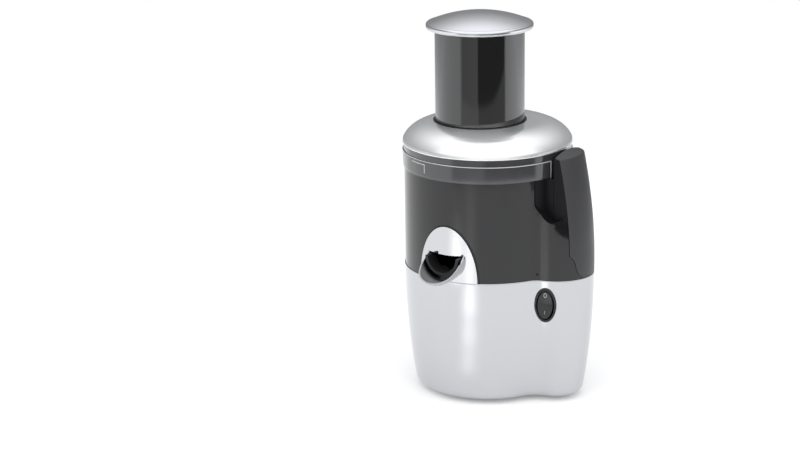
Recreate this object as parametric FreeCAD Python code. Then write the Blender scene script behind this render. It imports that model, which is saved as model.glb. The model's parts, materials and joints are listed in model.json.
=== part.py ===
import FreeCAD, Part
import math
import os

from FreeCAD import Placement, Rotation, Vector

# A centrifugal juicer, in millimetres, with +Z up. The pieces are shaped with the motor shaft on the
# Z axis, the handle towards +X and the spout towards -Y, and are then moved together so that the
# middle of the footprint is the origin.

# Fits
RUN_GAP = 0.3            # between curved faces of pieces that move past each other
SHAFT_FIT = 0.05         # shaft in its bearings, pin in its holes
SLIP = 0.1               # round a piece that is pushed or screwed home
REACH = 10.0             # how far a cutting tool runs past the face that it cuts
FULL_TURN = 360.0        # in degrees

# Outline of the body seen from above: a main circle, a nose under the handle, a hollow waist each side
BODY_R = 89.5
NOSE_SET = 7.1           # middle of the nose inside the main circle
NOSE_R = 40.5
WAIST_R = 20.0

# Base housing
HOUSING_H = 134.0
HOUSING_WALL = 2.5
SIDE_BOW_R = 762.0       # radius of the outward bow of the side, upright at the top edge
SIDE_SECTION_COUNT = 5
BOTTOM_ROUND = 9.0
LEDGE_W = 5.0
LEDGE_H = 4.0

# Base plate, feet and their screws
FOOT_H = 2.6
FOOT_R = 9.0
FOOT_STEM_R = 3.0
FOOT_MARGIN = 4.0        # from the edge of the base plate to a foot
FOOT_EDGE = 0.8
FLANGE_T = 1.4
SPIGOT_T = 2.5
FLANGE_MARGIN = 2.6      # from the foot of the rounded edge to the flange
SPIGOT_MARGIN = 3.2      # from the flange to the spigot
VENT_COUNT = 18
VENT_W = 3.0
VENT_IN_R = 17.0
PLATE_SCREW_R = 2.0
PLATE_SCREW_HEAD_R = 3.8
PLATE_SCREW_HEAD_T = 1.8
PLATE_SCREW_L = 16.0

# Deck over the motor, with the bayonet that holds the bowl
DECK_T = 4.0
DECK_DROP = 4.0          # below the top edge of the housing
POST_R = 4.5
POST_MARGIN = 0.8        # from the edge of the spigot to a post
POST_COUNT = 4
BOSS_R = 13.0
BOSS_BORE_R = 9.0
BOSS_H = 31.0
BAYONET_DEPTH = 2.8      # between a hook and the bowl's wall
BAYONET_WALL = 4.0
BAYONET_ROOM = 1.0       # between the bayonet ring and the floor of the bowl
HOOK_COUNT = 3
HOOK_SPAN = 16.0
HOOK_T = 3.0
HOOK_W = 5.0
HOOK_LIFT = 1.0          # between a hook and the lug below it
HOOK_ANGLE = 60.0

# Motor
SHAFT_R = 5.0
SHAFT_FLAT = 3.5         # from the axis to each flat of the shaft's end
SHAFT_TAIL = 16.0        # below the lower end shield
SHAFT_CLEAR = 12.5       # from the base plate to the tail of the shaft
BEARING_R = 13.0
BEARING_H = 8.0
BEARING_RACE = 2.6
SHIELD_SUNK = 0.6
MOTOR_ROOM = 5.0         # between the motor and the posts of the deck
STATOR_DEPTH = 22.6      # of the stator's iron, from its outside to its bore
AIR_GAP = 0.4
COIL_COUNT = 12
COIL_R = 3.0
COIL_HEAD_IN = 2.6       # from the bore of the stator to the coil heads
COIL_HEAD_OUT = 3.0      # from the coil heads to the rim of the shield
COIL_HEAD_H = 11.0
END_ROOM = 15.0          # from the stator to the plate of an end shield
SHIELD_T = 4.0
SHIELD_RIM = 6.0
SHIELD_BOSS_R = 17.0
SHIELD_BOSS_IN = 7.0     # boss inside the shield's plate
SHIELD_BOSS_OUT = 4.0    # boss outside the shield's plate
SHIELD_LIP_R = 9.0
BOLT_R = 2.0
BOLT_HEAD_R = 3.4
BOLT_HEAD_T = 2.5
BOLT_COUNT = 4
DAMPER_R = 6.5
DAMPER_H = 13.0
DAMPER_INSET = 11.0      # from the outside of the motor to the dampers
DAMPER_COUNT = 4
MOTOR_SCREW_R = 2.0
MOTOR_SCREW_HEAD_R = 4.0
MOTOR_SCREW_HEAD_T = 2.2
FAN_INSET = 7.0          # from the outside of the motor to the tips of the fan
FAN_HUB_R = 9.0
FAN_H = 11.0
FAN_PLATE_T = 1.5
FAN_BLADE_T = 1.5
FAN_BLADE_COUNT = 9
FAN_LIFT = 2.0           # above the tail of the shaft
SEAL_H = 5.0
SEAL_DROP = 1.0

# Electrical pieces
CAPACITOR_R = 16.0
CAPACITOR_H = 58.0
CAPACITOR_ROOM = 8.0     # between the motor and the capacitor
CAPACITOR_PIN_W = 3.0
CAPACITOR_PIN_H = 7.0
CLIP_T = 1.5
CLIP_H = 12.0
CLIP_LIFT = 28.0
CLIP_LEG_W = 10.0
CLIP_FOOT_L = 9.0
CLIP_LEG_SET = 0.4       # leg outside the bore of the clip's band
TERMINAL_L = 30.0
TERMINAL_W = 12.0
TERMINAL_H = 12.0
TERMINAL_MARGIN = 23.5   # middle of the block inside the body's edge
TERMINAL_ANGLE = 107.0
TERMINAL_SCREW_COUNT = 3
TERMINAL_SCREW_R = 2.4
TERMINAL_SCREW_DEPTH = 4.0
SENSOR_L = 16.0
SENSOR_W = 12.0
SENSOR_H = 10.0
GLAND_R = 6.5
GLAND_BORE_R = 3.6
GLAND_FLANGE_R = 9.5
GLAND_NUT_R = 9.5
GLAND_NUT_T = 5.0
GLAND_PROUD = 2.5
GLAND_Z = 24.0

# Rocker switch, on the right-hand waist
SWITCH_DROP = 26.5           # below the top edge of the housing
SWITCH_NOSE_ANGLE = -78.5    # place on the nose circle
SWITCH_FACING = -75.0        # direction that the bezel looks
BEZEL_W = 23.4
BEZEL_H = 37.4
BEZEL_PROUD = 2.4
BEZEL_ROUND = 1.2
COLLAR_EDGE = 1.4            # flange of the bezel outside its collar
COLLAR_DEPTH = 13.0
ROCKER_W = 16.4
ROCKER_H = 29.0
ROCKER_ROOM = 1.2
ROCKER_DEPTH = 9.0
ROCKER_TILT = 8.0            # of each half of the rocker's face, and of the rocker at rest
ROCKER_LOW = 0.2             # middle of the rocker's face below the bezel's face
PIVOT_DEPTH = 3.0
PIVOT_R = 1.5
SWITCH_BODY_W = 21.5
SWITCH_BODY_H = 35.0
SWITCH_BODY_L = 20.0
SWITCH_BLADE_W = 5.0
SWITCH_BLADE_T = 0.8
SWITCH_BLADE_L = 8.0
SWITCH_BLADE_PITCH = 9.0

# Bowl
BOWL_STEP = 0.7              # inside the top edge of the housing
BOWL_H = 106.4
BOWL_WALL = 3.0
BOWL_FLOOR_LIFT = 8.7
BOWL_FLOOR_T = 3.0
BOWL_NECK_H = 9.0            # slope from the wall to the rim
CHIMNEY_R = 18.5
CHIMNEY_WALL = 2.5
CHIMNEY_H = 41.0
RIM_WALL = 2.5
RIM_H = 17.8
RIM_LUG_W = 2.0
RIM_LUG_T = 4.0
RIM_LUG_DROP = 6.5           # from the top of the rim to the lugs
FLANK_Y = 27.0               # half width of the handle
SCOOP_SIDE = -3.6            # finger scoops in the flanks, from the middle of the nose: at the bowl's wall
SCOOP_SIDE_UP = 84.0
SCOOP_BEND = -1.7
SCOOP_BEND_UP = 76.5
SCOOP_KNEE = 3.2
SCOOP_KNEE_UP = 70.2
SCOOP_HEEL = 7.9
SCOOP_HEEL_UP = 64.4
SCOOP_LOW = 13.1             # lowest point of the scoop
SCOOP_UP = 61.4
SCOOP_TOE = 21.0
SCOOP_TOE_UP = 64.8
SCOOP_FRONT = 31.0
SCOOP_FRONT_UP = 75.5
LEAN_UP = 11.7               # where the front of the handle begins to lean in
LEAN_TOP = 12.3
LEAN_H = 112.0
NOSE_SECTION_COUNT = 6

# Handle and its lid lock
HANDLE_STANDOFF = 4.2        # back of the handle from the bowl's wall
HANDLE_WALL = 3.0
HANDLE_SEAM = 0.6            # dark line round the handle
HANDLE_RISE = 1.5            # above the lid
HANDLE_SLOPE = 16.0          # of the handle's top, in degrees
CROWN_R = 100.0              # of the handle's arched top
HANDLE_EDGE = 2.0
LID_ROOM = 0.5               # between the lid's tab and the handle
STRIP_FOOT_Y = 11.7          # half width of the handle at its foot
STRIP_BELLY_Y = 18.4
STRIP_BELLY_UP = 5.6
STRIP_WAIST_Y = 21.3
STRIP_WAIST_UP = 13.0
STRIP_NECK_Y = 23.2
STRIP_NECK_UP = 20.0
STRIP_TOP_UP = 25.5
TAB_PAST_ROD = 2.0
TAB_T = 4.7
TAB_SPAN = 10.0
TAB_LIFT = 12.0              # above the lid's lower edge
TAB_ROOM = 0.8
TAB_SWING = 60.0             # how far the slot for the tab runs, past the handle's far flank
ROD_R = 2.5
ROD_ROOM = 1.0               # between the rod's collar and the guide plate
ROD_COLLAR_R = 5.0
ROD_COLLAR_T = 3.0
ROD_COLLAR_LIFT = 41.0
ROD_LIFT = 1.2               # foot of the rod above the bowl's lower edge
GUIDE_T = 2.5
GUIDE_LUG_L = 12.0
GUIDE_LUG_W = 14.0
GUIDE_LUG_T = 4.0
GUIDE_LOW = 12.0             # lower lug above the bowl's lower edge
GUIDE_HIGH = 13.9            # upper lug below the rod's upper end
SPRING_R = 4.3
SPRING_WIRE_R = 0.45
SPRING_TURN_COUNT = 8
HANDLE_SCREW_R = 1.5
HANDLE_SCREW_HEAD_R = 2.8
HANDLE_SCREW_HEAD_T = 1.4
HANDLE_SCREW_L = 14.0
HANDLE_SCREW_Y = 13.0
HANDLE_SCREW_UP = 36.0       # lower screws above the bowl's lower edge
HANDLE_SCREW_DROP = 23.9     # upper screws below the rod's upper end
HANDLE_BOSS_R = 3.6

# Spout and its liner
SPOUT_PLATE_HALF_W = 34.0
SPOUT_PLATE_H = 58.5
SPOUT_PLATE_T = 1.4
SPOUT_R = 22.5
SPOUT_WALL = 1.6
SPOUT_UP = 23.7              # axis of the spout above the bowl's lower edge
SPOUT_LENGTH = 21.2          # from the bowl's wall to the middle of the spout's round end
SPOUT_LIP_UP = 29.2          # lip of the spout where it leaves the wall
SPOUT_LIP_SLOPE = 0.69
LINER_R = 19.5
LINER_WALL = 3.0
LINER_UP = 27.7
LINER_IN = 6.0
LINER_OUT = 10.0

# Spinning basket
BASKET_PLATE_R = 60.0
BASKET_PLATE_T = 5.0
BASKET_LIFT = 51.0           # underside of the plate above the bowl's floor
BASKET_SKIRT_R = 24.0
BASKET_SKIRT_WALL = 3.0
BASKET_SKIRT_H = 38.0
BASKET_BOSS_R = 9.5
BASKET_BOSS_H = 22.0
BASKET_SHAFT_TIP = 4.0       # tip of the shaft below the plate's underside
GRATER_INSET = 3.0
GRATER_T = 1.2
TOOTH_R = 1.3
TOOTH_H = 2.0
TOOTH_FIRST_R = 20.0     # innermost row of teeth
TOOTH_ROW_STEP = 10.0
TOOTH_ROW_COUNT = 4
TOOTH_FIRST_COUNT = 8    # teeth in the innermost row
TOOTH_ADDED_COUNT = 4    # more teeth in each row than in the one inside it
FILTER_T = 1.0
FILTER_MARGIN = 8.2          # between the basket and the bowl's rim
FILTER_HEADROOM = 9.0        # between the basket and the lid
FILTER_SLOT_COUNT = 36
FILTER_ROW_COUNT = 3
FILTER_SLOT_W = 2.0
FILTER_SLOT_H = 10.0
FILTER_RIM_W = 3.0
FILTER_RIM_H = 6.0

# Lid
LID_STEP = 0.4               # outside the bowl's wall
LID_H = 25.0
LID_WALL = 2.2
LID_PLATE_T = 4.0
BAND_STEP = 0.8              # outside the lid's skirt
BAND_H = 17.5
BAND_GAP = 29.0              # degrees that the band leaves free at the handle
GUARD_MARGIN = 2.0           # inside the basket's rim
GUARD_WALL = 2.0
GUARD_H = 12.0
LID_SEAL_W = 3.2
DOME_EDGE_H = 4.0
DOME_SWELL_W = 34.0
DOME_SWELL_H = 18.0
DOME_T = 1.5

# Feed chute and pusher
CHUTE_X = -9.0
CHUTE_R = 47.3
CHUTE_WALL = 3.0
CHUTE_RISE = 119.8           # above the lid
CHUTE_FLANGE_W = 5.7
CHUTE_FLANGE_T = 2.5
CHUTE_SEAL_W = 2.0
CHUTE_SEAL_H = 3.2
CHUTE_SEAL_PROUD = 0.6
PUSHER_ROOM = 0.5
PUSHER_WALL = 2.2
PUSHER_FLOOR_T = 3.0
PUSHER_DIP = 3.0             # foot of the pusher below the chute
PUSHER_GAP = 4.8             # foot of the pusher above the grater's teeth
CAP_OVERHANG = 9.2           # outside the chute
CAP_WALL = 2.0
CAP_RIM_H = 6.4
CAP_EDGE = 2.4
CAP_CROWN_H = 10.9
CAP_SPIGOT_H = 10.0
CAP_SPIGOT_WALL = 3.0

# Heights and radii that follow from the sizes above
HOUSING_Z0 = FOOT_H + FLANGE_T
HOUSING_Z1 = HOUSING_Z0 + HOUSING_H
PLATE_Z1 = HOUSING_Z0 + SPIGOT_T
DECK_Z1 = HOUSING_Z1 - DECK_DROP
DECK_Z0 = DECK_Z1 - DECK_T
BOSS_Z1 = DECK_Z1 + BOSS_H
UPPER_SHIELD_Z1 = DECK_Z0 - DAMPER_H
UPPER_SHIELD_Z0 = UPPER_SHIELD_Z1 - SHIELD_T
STATOR_Z1 = UPPER_SHIELD_Z0 - END_ROOM
SHAFT_Z0 = PLATE_Z1 + SHAFT_CLEAR
LOWER_SHIELD_Z0 = SHAFT_Z0 + SHAFT_TAIL + SHIELD_BOSS_OUT
LOWER_SHIELD_Z1 = LOWER_SHIELD_Z0 + SHIELD_T
STATOR_Z0 = LOWER_SHIELD_Z1 + END_ROOM
SWITCH_Z = HOUSING_Z1 - SWITCH_DROP
BOWL_Z0 = HOUSING_Z1 + RUN_GAP
BOWL_Z1 = BOWL_Z0 + BOWL_H
FLOOR_Z0 = BOWL_Z0 + BOWL_FLOOR_LIFT
FLOOR_Z1 = FLOOR_Z0 + BOWL_FLOOR_T
RIM_Z1 = BOWL_Z1 + RIM_H
RIM_LUG_Z1 = RIM_Z1 - RIM_LUG_DROP
RIM_LUG_Z0 = RIM_LUG_Z1 - RIM_LUG_T
BAYONET_Z1 = FLOOR_Z0 - BAYONET_ROOM
HOOK_Z0 = BAYONET_Z1 - HOOK_T
BOWL_LUG_Z1 = HOOK_Z0 - HOOK_LIFT
LEAN_Z = BOWL_Z0 + LEAN_UP
LID_Z0 = BOWL_Z1 + RUN_GAP
LID_Z1 = LID_Z0 + LID_H
LID_PLATE_Z0 = LID_Z1 - LID_PLATE_T
HANDLE_TOP = LID_Z1 + HANDLE_RISE
TAB_Z0 = LID_Z0 + TAB_LIFT
TAB_Z1 = TAB_Z0 + TAB_T
DOME_Z1 = LID_Z1 + DOME_EDGE_H + DOME_SWELL_H
ROD_Z0 = BOWL_Z0 + ROD_LIFT
ROD_Z1 = TAB_Z0 - TAB_ROOM
SPOUT_Z = BOWL_Z0 + SPOUT_UP
LINER_Z = BOWL_Z0 + LINER_UP
BASKET_Z0 = FLOOR_Z0 + BASKET_LIFT
BASKET_Z1 = BASKET_Z0 + BASKET_PLATE_T
SHAFT_Z1 = BASKET_Z0 - BASKET_SHAFT_TIP
FILTER_Z1 = LID_PLATE_Z0 - FILTER_HEADROOM - FILTER_RIM_H
CHUTE_Z0 = BASKET_Z1 + GRATER_T + TOOTH_H + PUSHER_GAP + PUSHER_DIP
CHUTE_Z1 = LID_Z1 + CHUTE_RISE
CAP_Z0 = CHUTE_Z1 + RUN_GAP
NOSE_AT = BODY_R - NOSE_SET
TERMINAL_AT = BODY_R - TERMINAL_MARGIN
BOWL_R = BODY_R - BOWL_STEP
BOWL_INNER_R = BOWL_R - BOWL_WALL
BAYONET_R = BOWL_INNER_R - HOOK_W - BAYONET_DEPTH
LID_R = BOWL_R + LID_STEP
LID_INNER_R = LID_R - LID_WALL
RIM_R = LID_INNER_R - RIM_LUG_W - RUN_GAP
BAND_R = LID_R + BAND_STEP
DOME_R = BAND_R
HANDLE_BACK = BOWL_R + HANDLE_STANDOFF
ROD_AT = HANDLE_BACK + GUIDE_T + ROD_ROOM + ROD_COLLAR_R
TAB_REACH = ROD_AT + ROD_R + TAB_PAST_ROD
FILTER_TOP_R = RIM_R - RIM_WALL - FILTER_MARGIN
GUARD_R = FILTER_TOP_R - GUARD_MARGIN
GRATER_R = BASKET_PLATE_R - GRATER_INSET
CHUTE_BORE_R = CHUTE_R - CHUTE_WALL
CHUTE_FLANGE_R = CHUTE_R + CHUTE_FLANGE_W
PUSHER_R = CHUTE_BORE_R - PUSHER_ROOM
CAP_R = CHUTE_R + CAP_OVERHANG
SPOUT_CENTRE_AT = BOWL_R + SPOUT_LENGTH
UP = Vector(0, 0, 1)
SIDEWAYS = Vector(1, 0, 0)
FORWARD = Vector(0, -1, 0)


def disc(radius, z_low, z_high, x=0.0, y=0.0):
    """Cylinder that stands between two heights."""
    return Part.makeCylinder(radius, z_high - z_low, Vector(x, y, z_low))


def tube(outer, inner, z_low, z_high, x=0.0, y=0.0):
    """Upright tube."""
    return disc(outer, z_low, z_high, x, y).cut(disc(inner, z_low, z_high, x, y))


def block(x_low, x_high, y_low, y_high, z_low, z_high):
    """Box between two corners."""
    return Part.makeBox(x_high - x_low, y_high - y_low, z_high - z_low, Vector(x_low, y_low, z_low))


def turned(shape, angle):
    """Copy of a shape turned about the shaft's axis."""
    copy = shape.copy()
    copy.rotate(Vector(0, 0, 0), UP, angle)
    return copy


def shifted(shape, x, y=0.0, z=0.0):
    """Copy of a shape moved along the axes."""
    copy = shape.copy()
    copy.translate(Vector(x, y, z))
    return copy


def round_about(shape, count, start=0.0):
    """Evenly spaced copies of a shape about the shaft's axis."""
    return [turned(shape, start + FULL_TURN * i / count) for i in range(count)]


def joined(shapes):
    """One solid from shapes that touch."""
    return shapes[0].multiFuse(shapes[1:]).removeSplitter()


def group(shapes):
    """Separate solids that share one node."""
    return Part.makeCompound(shapes)


def face_of(points, to_space):
    """Flat face round an outline. A pair of numbers is a straight run to that point, and a pair of
    pairs is an arc through the first point to the second."""
    here = to_space(*points[0])
    edges = []
    for step in points[1:] + points[:1]:
        if isinstance(step[0], tuple):
            there = to_space(*step[1])
            edges.append(Part.Arc(here, to_space(*step[0]), there).toShape())
        else:
            there = to_space(*step)
            if there != here:
                edges.append(Part.makeLine(here, there))
        here = there
    return Part.Face(Part.Wire(edges))


def lathe(points, x=0.0):
    """Solid turned from an outline of radius and height, about an upright axis."""
    face = face_of(points, lambda r, z: Vector(x + r, 0, z))
    return face.revolve(Vector(x, 0, 0), UP, FULL_TURN)


def sector(inner, outer, z_low, z_high, middle, span):
    """Part of an upright ring, centred on an angle."""
    corners = [(inner, z_low), (outer, z_low), (outer, z_high), (inner, z_high)]
    face = face_of(corners, lambda r, z: Vector(r, 0, z))
    return turned(face.revolve(Vector(0, 0, 0), UP, span), middle - span / 2)


def plan_wire(z, main_r, nose_at, nose_r, waist_r):
    """Outline of the body from above: arcs of the main circle, the nose and the two waists."""
    fillet_x = ((main_r + waist_r) ** 2 - (nose_r + waist_r) ** 2 + nose_at ** 2) / (2 * nose_at)
    fillet_y = math.sqrt((main_r + waist_r) ** 2 - fillet_x ** 2)
    nose = Vector(nose_at, 0, 0)

    def waist(side):
        fillet = Vector(fillet_x, side * fillet_y, 0)
        at_main = fillet * (main_r / (main_r + waist_r))
        at_nose = nose + (fillet - nose) * (nose_r / (nose_r + waist_r))
        inward = ((at_main - fillet) + (at_nose - fillet)).normalize()
        return at_main, fillet + inward * waist_r, at_nose

    def on_main(angle):
        return Vector(main_r * math.cos(angle), main_r * math.sin(angle), 0)

    right_main, right_mid, right_nose = waist(-1)
    left_main, left_mid, left_nose = waist(1)
    half = (math.atan2(left_main.y, left_main.x) + math.pi) / 2
    back, tip = Vector(-main_r, 0, 0), Vector(nose_at + nose_r, 0, 0)
    arcs = [(back, on_main(-half), right_main), (right_main, right_mid, right_nose),
            (right_nose, tip, left_nose), (left_nose, left_mid, left_main),
            (left_main, on_main(half), back)]
    wire = Part.Wire([Part.Arc(*points).toShape() for points in arcs])
    wire.translate(Vector(0, 0, z))
    return wire


def base_plan(z, inset):
    """The body's outline at one height, moved inwards all round."""
    return plan_wire(z, BODY_R - inset, NOSE_AT, NOSE_R - inset, WAIST_R + inset)


def base_slab(inset, z_low, z_high):
    """Straight slab with the body's outline."""
    return Part.Face(base_plan(z_low, inset)).extrude(Vector(0, 0, z_high - z_low))


def levels(z_low, z_high, count):
    """Evenly spaced heights."""
    return [z_low + (z_high - z_low) * i / count for i in range(count + 1)]


# Base

def side_inset(z):
    """How far the housing's side lies inside its top edge."""
    drop = HOUSING_Z1 - z
    return drop ** 2 / (2 * SIDE_BOW_R)


FLANGE_INSET = side_inset(HOUSING_Z0) + BOTTOM_ROUND + FLANGE_MARGIN
SPIGOT_INSET = FLANGE_INSET + SPIGOT_MARGIN
FOOT_RING_R = BODY_R - FLANGE_INSET - FOOT_MARGIN - FOOT_R
NOSE_FOOT_AT = NOSE_AT + NOSE_R - FLANGE_INSET - FOOT_MARGIN - FOOT_R
POST_RING_R = BODY_R - SPIGOT_INSET - POST_MARGIN - POST_R
STATOR_R = POST_RING_R - POST_R - MOTOR_ROOM
STATOR_BORE_R = STATOR_R - STATOR_DEPTH
ROTOR_R = STATOR_BORE_R - AIR_GAP
COIL_HEAD_IN_R = STATOR_BORE_R + COIL_HEAD_IN
COIL_HEAD_OUT_R = STATOR_R - SHIELD_RIM - COIL_HEAD_OUT
COIL_RING_R = (COIL_HEAD_IN_R + COIL_HEAD_OUT_R) / 2
BOLT_RING_R = STATOR_R - SHIELD_RIM / 2
DAMPER_RING_R = STATOR_R - DAMPER_INSET
FAN_R = STATOR_R - FAN_INSET
CAPACITOR_AT = STATOR_R + CAPACITOR_ROOM + CAPACITOR_R
GLAND_AT = BODY_R - side_inset(GLAND_Z)


def housing_block(inset, z_low, edge):
    """Leaning, bowed block of the base with a rounded lower edge."""
    heights = levels(z_low, HOUSING_Z1, SIDE_SECTION_COUNT)
    solid = Part.makeLoft([base_plan(z, side_inset(z) + inset) for z in heights], True)
    low = [e for e in solid.Edges if e.BoundBox.ZMax < z_low + edge / 2]
    return solid.makeFillet(edge, low)


def on_switch(shape):
    """Move a shape from the switch's own axes (across, up, out) to its place on the waist."""
    facing = math.radians(SWITCH_FACING)
    place = math.radians(SWITCH_NOSE_ANGLE)
    radius = NOSE_R - side_inset(SWITCH_Z)
    centre = Vector(NOSE_AT + radius * math.cos(place), radius * math.sin(place), SWITCH_Z)
    out = Vector(math.cos(facing), math.sin(facing), 0)
    across = UP.cross(out)
    copy = shape.copy()
    copy.Placement = Placement(centre, Rotation(across, UP, out, "ZYX")).multiply(copy.Placement)
    return copy


def oval(width, height, low, high):
    """Upright oval block in the switch's own axes."""
    curve = Part.Ellipse(Vector(0, height / 2, low), Vector(-width / 2, 0, low), Vector(0, 0, low))
    face = Part.Face(Part.Wire([curve.toShape()]))
    return face.extrude(Vector(0, 0, high - low))


def gland_tube(radius, y_low, y_high):
    """Level cylinder on the axis of the cord gland."""
    return Part.makeCylinder(radius, y_high - y_low, Vector(0, y_low, GLAND_Z), Vector(0, 1, 0))


def base_housing():
    inner_edge = BOTTOM_ROUND - HOUSING_WALL
    shell = housing_block(0.0, HOUSING_Z0, BOTTOM_ROUND)
    shell = shell.cut(housing_block(HOUSING_WALL, HOUSING_Z0 + HOUSING_WALL, inner_edge))
    shell = shell.cut(base_slab(SPIGOT_INSET - SLIP, HOUSING_Z0, HOUSING_Z0 + 2 * HOUSING_WALL))
    wall = side_inset(DECK_Z0) + HOUSING_WALL
    ledge = base_slab(wall - HOUSING_WALL / 2, DECK_Z0 - LEDGE_H, DECK_Z0)
    ledge = ledge.cut(base_slab(wall + LEDGE_W, DECK_Z0 - LEDGE_H, DECK_Z0))
    collar_w, collar_h = BEZEL_W - 2 * COLLAR_EDGE, BEZEL_H - 2 * COLLAR_EDGE
    hole = oval(collar_w + 2 * SLIP, collar_h + 2 * SLIP, -COLLAR_DEPTH, REACH)
    shell = joined([shell, ledge]).cut(on_switch(hole))
    return shell.cut(gland_tube(GLAND_R + SLIP, GLAND_AT - REACH, GLAND_AT + REACH))


def foot_places():
    """Middles of the feet."""
    ring = [(0.0, FOOT_RING_R), (-FOOT_RING_R, 0.0), (0.0, -FOOT_RING_R)]
    return ring + [(NOSE_FOOT_AT, 0.0)]


def post_places():
    """Middles of the posts that join the deck to the base plate."""
    angles = [math.radians(FULL_TURN * (i + 0.5) / POST_COUNT) for i in range(POST_COUNT)]
    return [(POST_RING_R * math.cos(a), POST_RING_R * math.sin(a)) for a in angles]


def base_plate():
    flange = base_slab(FLANGE_INSET, FOOT_H, HOUSING_Z0)
    plate = joined([flange, base_slab(SPIGOT_INSET, HOUSING_Z0, PLATE_Z1)])
    slot = block(VENT_IN_R, FAN_R, -VENT_W / 2, VENT_W / 2, FOOT_H, PLATE_Z1)
    tools = round_about(slot, VENT_COUNT)
    tools += [disc(FOOT_STEM_R + SLIP, FOOT_H, PLATE_Z1, x, y) for x, y in foot_places()]
    for x, y in post_places():
        tools.append(disc(PLATE_SCREW_R + SLIP, FOOT_H, PLATE_Z1, x, y))
        tools.append(disc(PLATE_SCREW_HEAD_R + SLIP, FOOT_H, FOOT_H + PLATE_SCREW_HEAD_T, x, y))
    return plate.cut(tools)


def feet():
    def foot(x, y):
        pad = disc(FOOT_R, 0.0, FOOT_H, x, y)
        pad = pad.makeFillet(FOOT_EDGE, [e for e in pad.Edges if e.BoundBox.ZMax < FOOT_H / 2])
        return joined([pad, disc(FOOT_STEM_R, FOOT_H, PLATE_Z1, x, y)])
    return group([foot(x, y) for x, y in foot_places()])


def base_plate_screws():
    def screw(x, y):
        seat = FOOT_H + PLATE_SCREW_HEAD_T
        head = disc(PLATE_SCREW_HEAD_R, FOOT_H, seat, x, y)
        return joined([head, disc(PLATE_SCREW_R, seat, seat + PLATE_SCREW_L, x, y)])
    return group([screw(x, y) for x, y in post_places()])


def damper_places():
    """Middles of the rubber dampers that hang the motor from the deck."""
    angles = [2 * math.pi * i / DAMPER_COUNT for i in range(DAMPER_COUNT)]
    return [(DAMPER_RING_R * math.cos(a), DAMPER_RING_R * math.sin(a)) for a in angles]


def deck():
    plate = base_slab(side_inset(DECK_Z0) + HOUSING_WALL + SLIP, DECK_Z0, DECK_Z1)
    inner = BAYONET_R - BAYONET_WALL
    ring = tube(BAYONET_R, inner, DECK_Z1, BAYONET_Z1)
    hook = sector(inner, BAYONET_R + HOOK_W, HOOK_Z0, BAYONET_Z1, HOOK_ANGLE, HOOK_SPAN)
    posts = [disc(POST_R, PLATE_Z1, DECK_Z0, x, y) for x, y in post_places()]
    boss = disc(BOSS_R, DECK_Z1, BOSS_Z1)
    solid = joined([plate, ring, boss] + round_about(hook, HOOK_COUNT) + posts)
    tools = [disc(BOSS_BORE_R, DECK_Z0, BOSS_Z1)]
    tools += [disc(MOTOR_SCREW_R + SLIP, DECK_Z0, DECK_Z1, x, y) for x, y in damper_places()]
    depth = FOOT_H + PLATE_SCREW_HEAD_T + PLATE_SCREW_L + SLIP
    tools += [disc(PLATE_SCREW_R + SLIP, PLATE_Z1, depth, x, y) for x, y in post_places()]
    return solid.cut(tools)


def motor_stator():
    core = tube(STATOR_R, STATOR_BORE_R, STATOR_Z0, STATOR_Z1)
    slot = disc(COIL_R + SLIP, STATOR_Z0, STATOR_Z1, COIL_RING_R)
    bolt = disc(BOLT_R + SLIP, STATOR_Z0, STATOR_Z1, BOLT_RING_R)
    return core.cut(round_about(slot, COIL_COUNT) + round_about(bolt, BOLT_COUNT, 180.0 / BOLT_COUNT))


def stator_windings():
    low, high = STATOR_Z0 - SLIP, STATOR_Z1 + SLIP
    upper = tube(COIL_HEAD_OUT_R, COIL_HEAD_IN_R, high, high + COIL_HEAD_H)
    lower = tube(COIL_HEAD_OUT_R, COIL_HEAD_IN_R, low - COIL_HEAD_H, low)
    legs = round_about(disc(COIL_R, low, high, COIL_RING_R), COIL_COUNT)
    return joined([upper, lower] + legs)


def end_shield():
    """End shield with its plate on the XY plane and its cup upwards."""
    plate = disc(STATOR_R, 0.0, SHIELD_T)
    rim = tube(STATOR_R, STATOR_R - SHIELD_RIM, SHIELD_T, SHIELD_T + END_ROOM)
    boss = disc(SHIELD_BOSS_R, -SHIELD_BOSS_OUT, SHIELD_T + SHIELD_BOSS_IN)
    top = SHIELD_T + SHIELD_BOSS_IN
    seat = disc(BEARING_R + SLIP, top - BEARING_H, top)
    bolt = disc(BOLT_R + SLIP, 0.0, SHIELD_T + END_ROOM, BOLT_RING_R)
    screw = disc(MOTOR_SCREW_R + SLIP, 0.0, SHIELD_T, DAMPER_RING_R)
    tools = [disc(SHIELD_LIP_R, -SHIELD_BOSS_OUT, top), seat]
    tools += round_about(bolt, BOLT_COUNT, 180.0 / BOLT_COUNT) + round_about(screw, DAMPER_COUNT)
    return joined([plate, rim, boss]).cut(tools)


def lower_end_shield():
    return shifted(end_shield(), 0.0, 0.0, LOWER_SHIELD_Z0)


def upper_end_shield():
    flipped = end_shield()
    flipped.rotate(Vector(0, 0, 0), SIDEWAYS, 180)
    return shifted(flipped, 0.0, 0.0, UPPER_SHIELD_Z1)


def bearing(z_low):
    """Sealed ball bearing: two races with a sunk shield between them on each face."""
    z_high = z_low + BEARING_H
    bore = SHAFT_R + SHAFT_FIT
    sunk = (BEARING_R - BEARING_RACE, bore + BEARING_RACE)
    body = tube(BEARING_R, bore, z_low, z_high)
    return body.cut([tube(*sunk, z_low, z_low + SHIELD_SUNK), tube(*sunk, z_high - SHIELD_SUNK, z_high)])


def lower_bearing():
    return bearing(LOWER_SHIELD_Z1 + SHIELD_BOSS_IN - BEARING_H)


def upper_bearing():
    return bearing(UPPER_SHIELD_Z0 - SHIELD_BOSS_IN)


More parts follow.
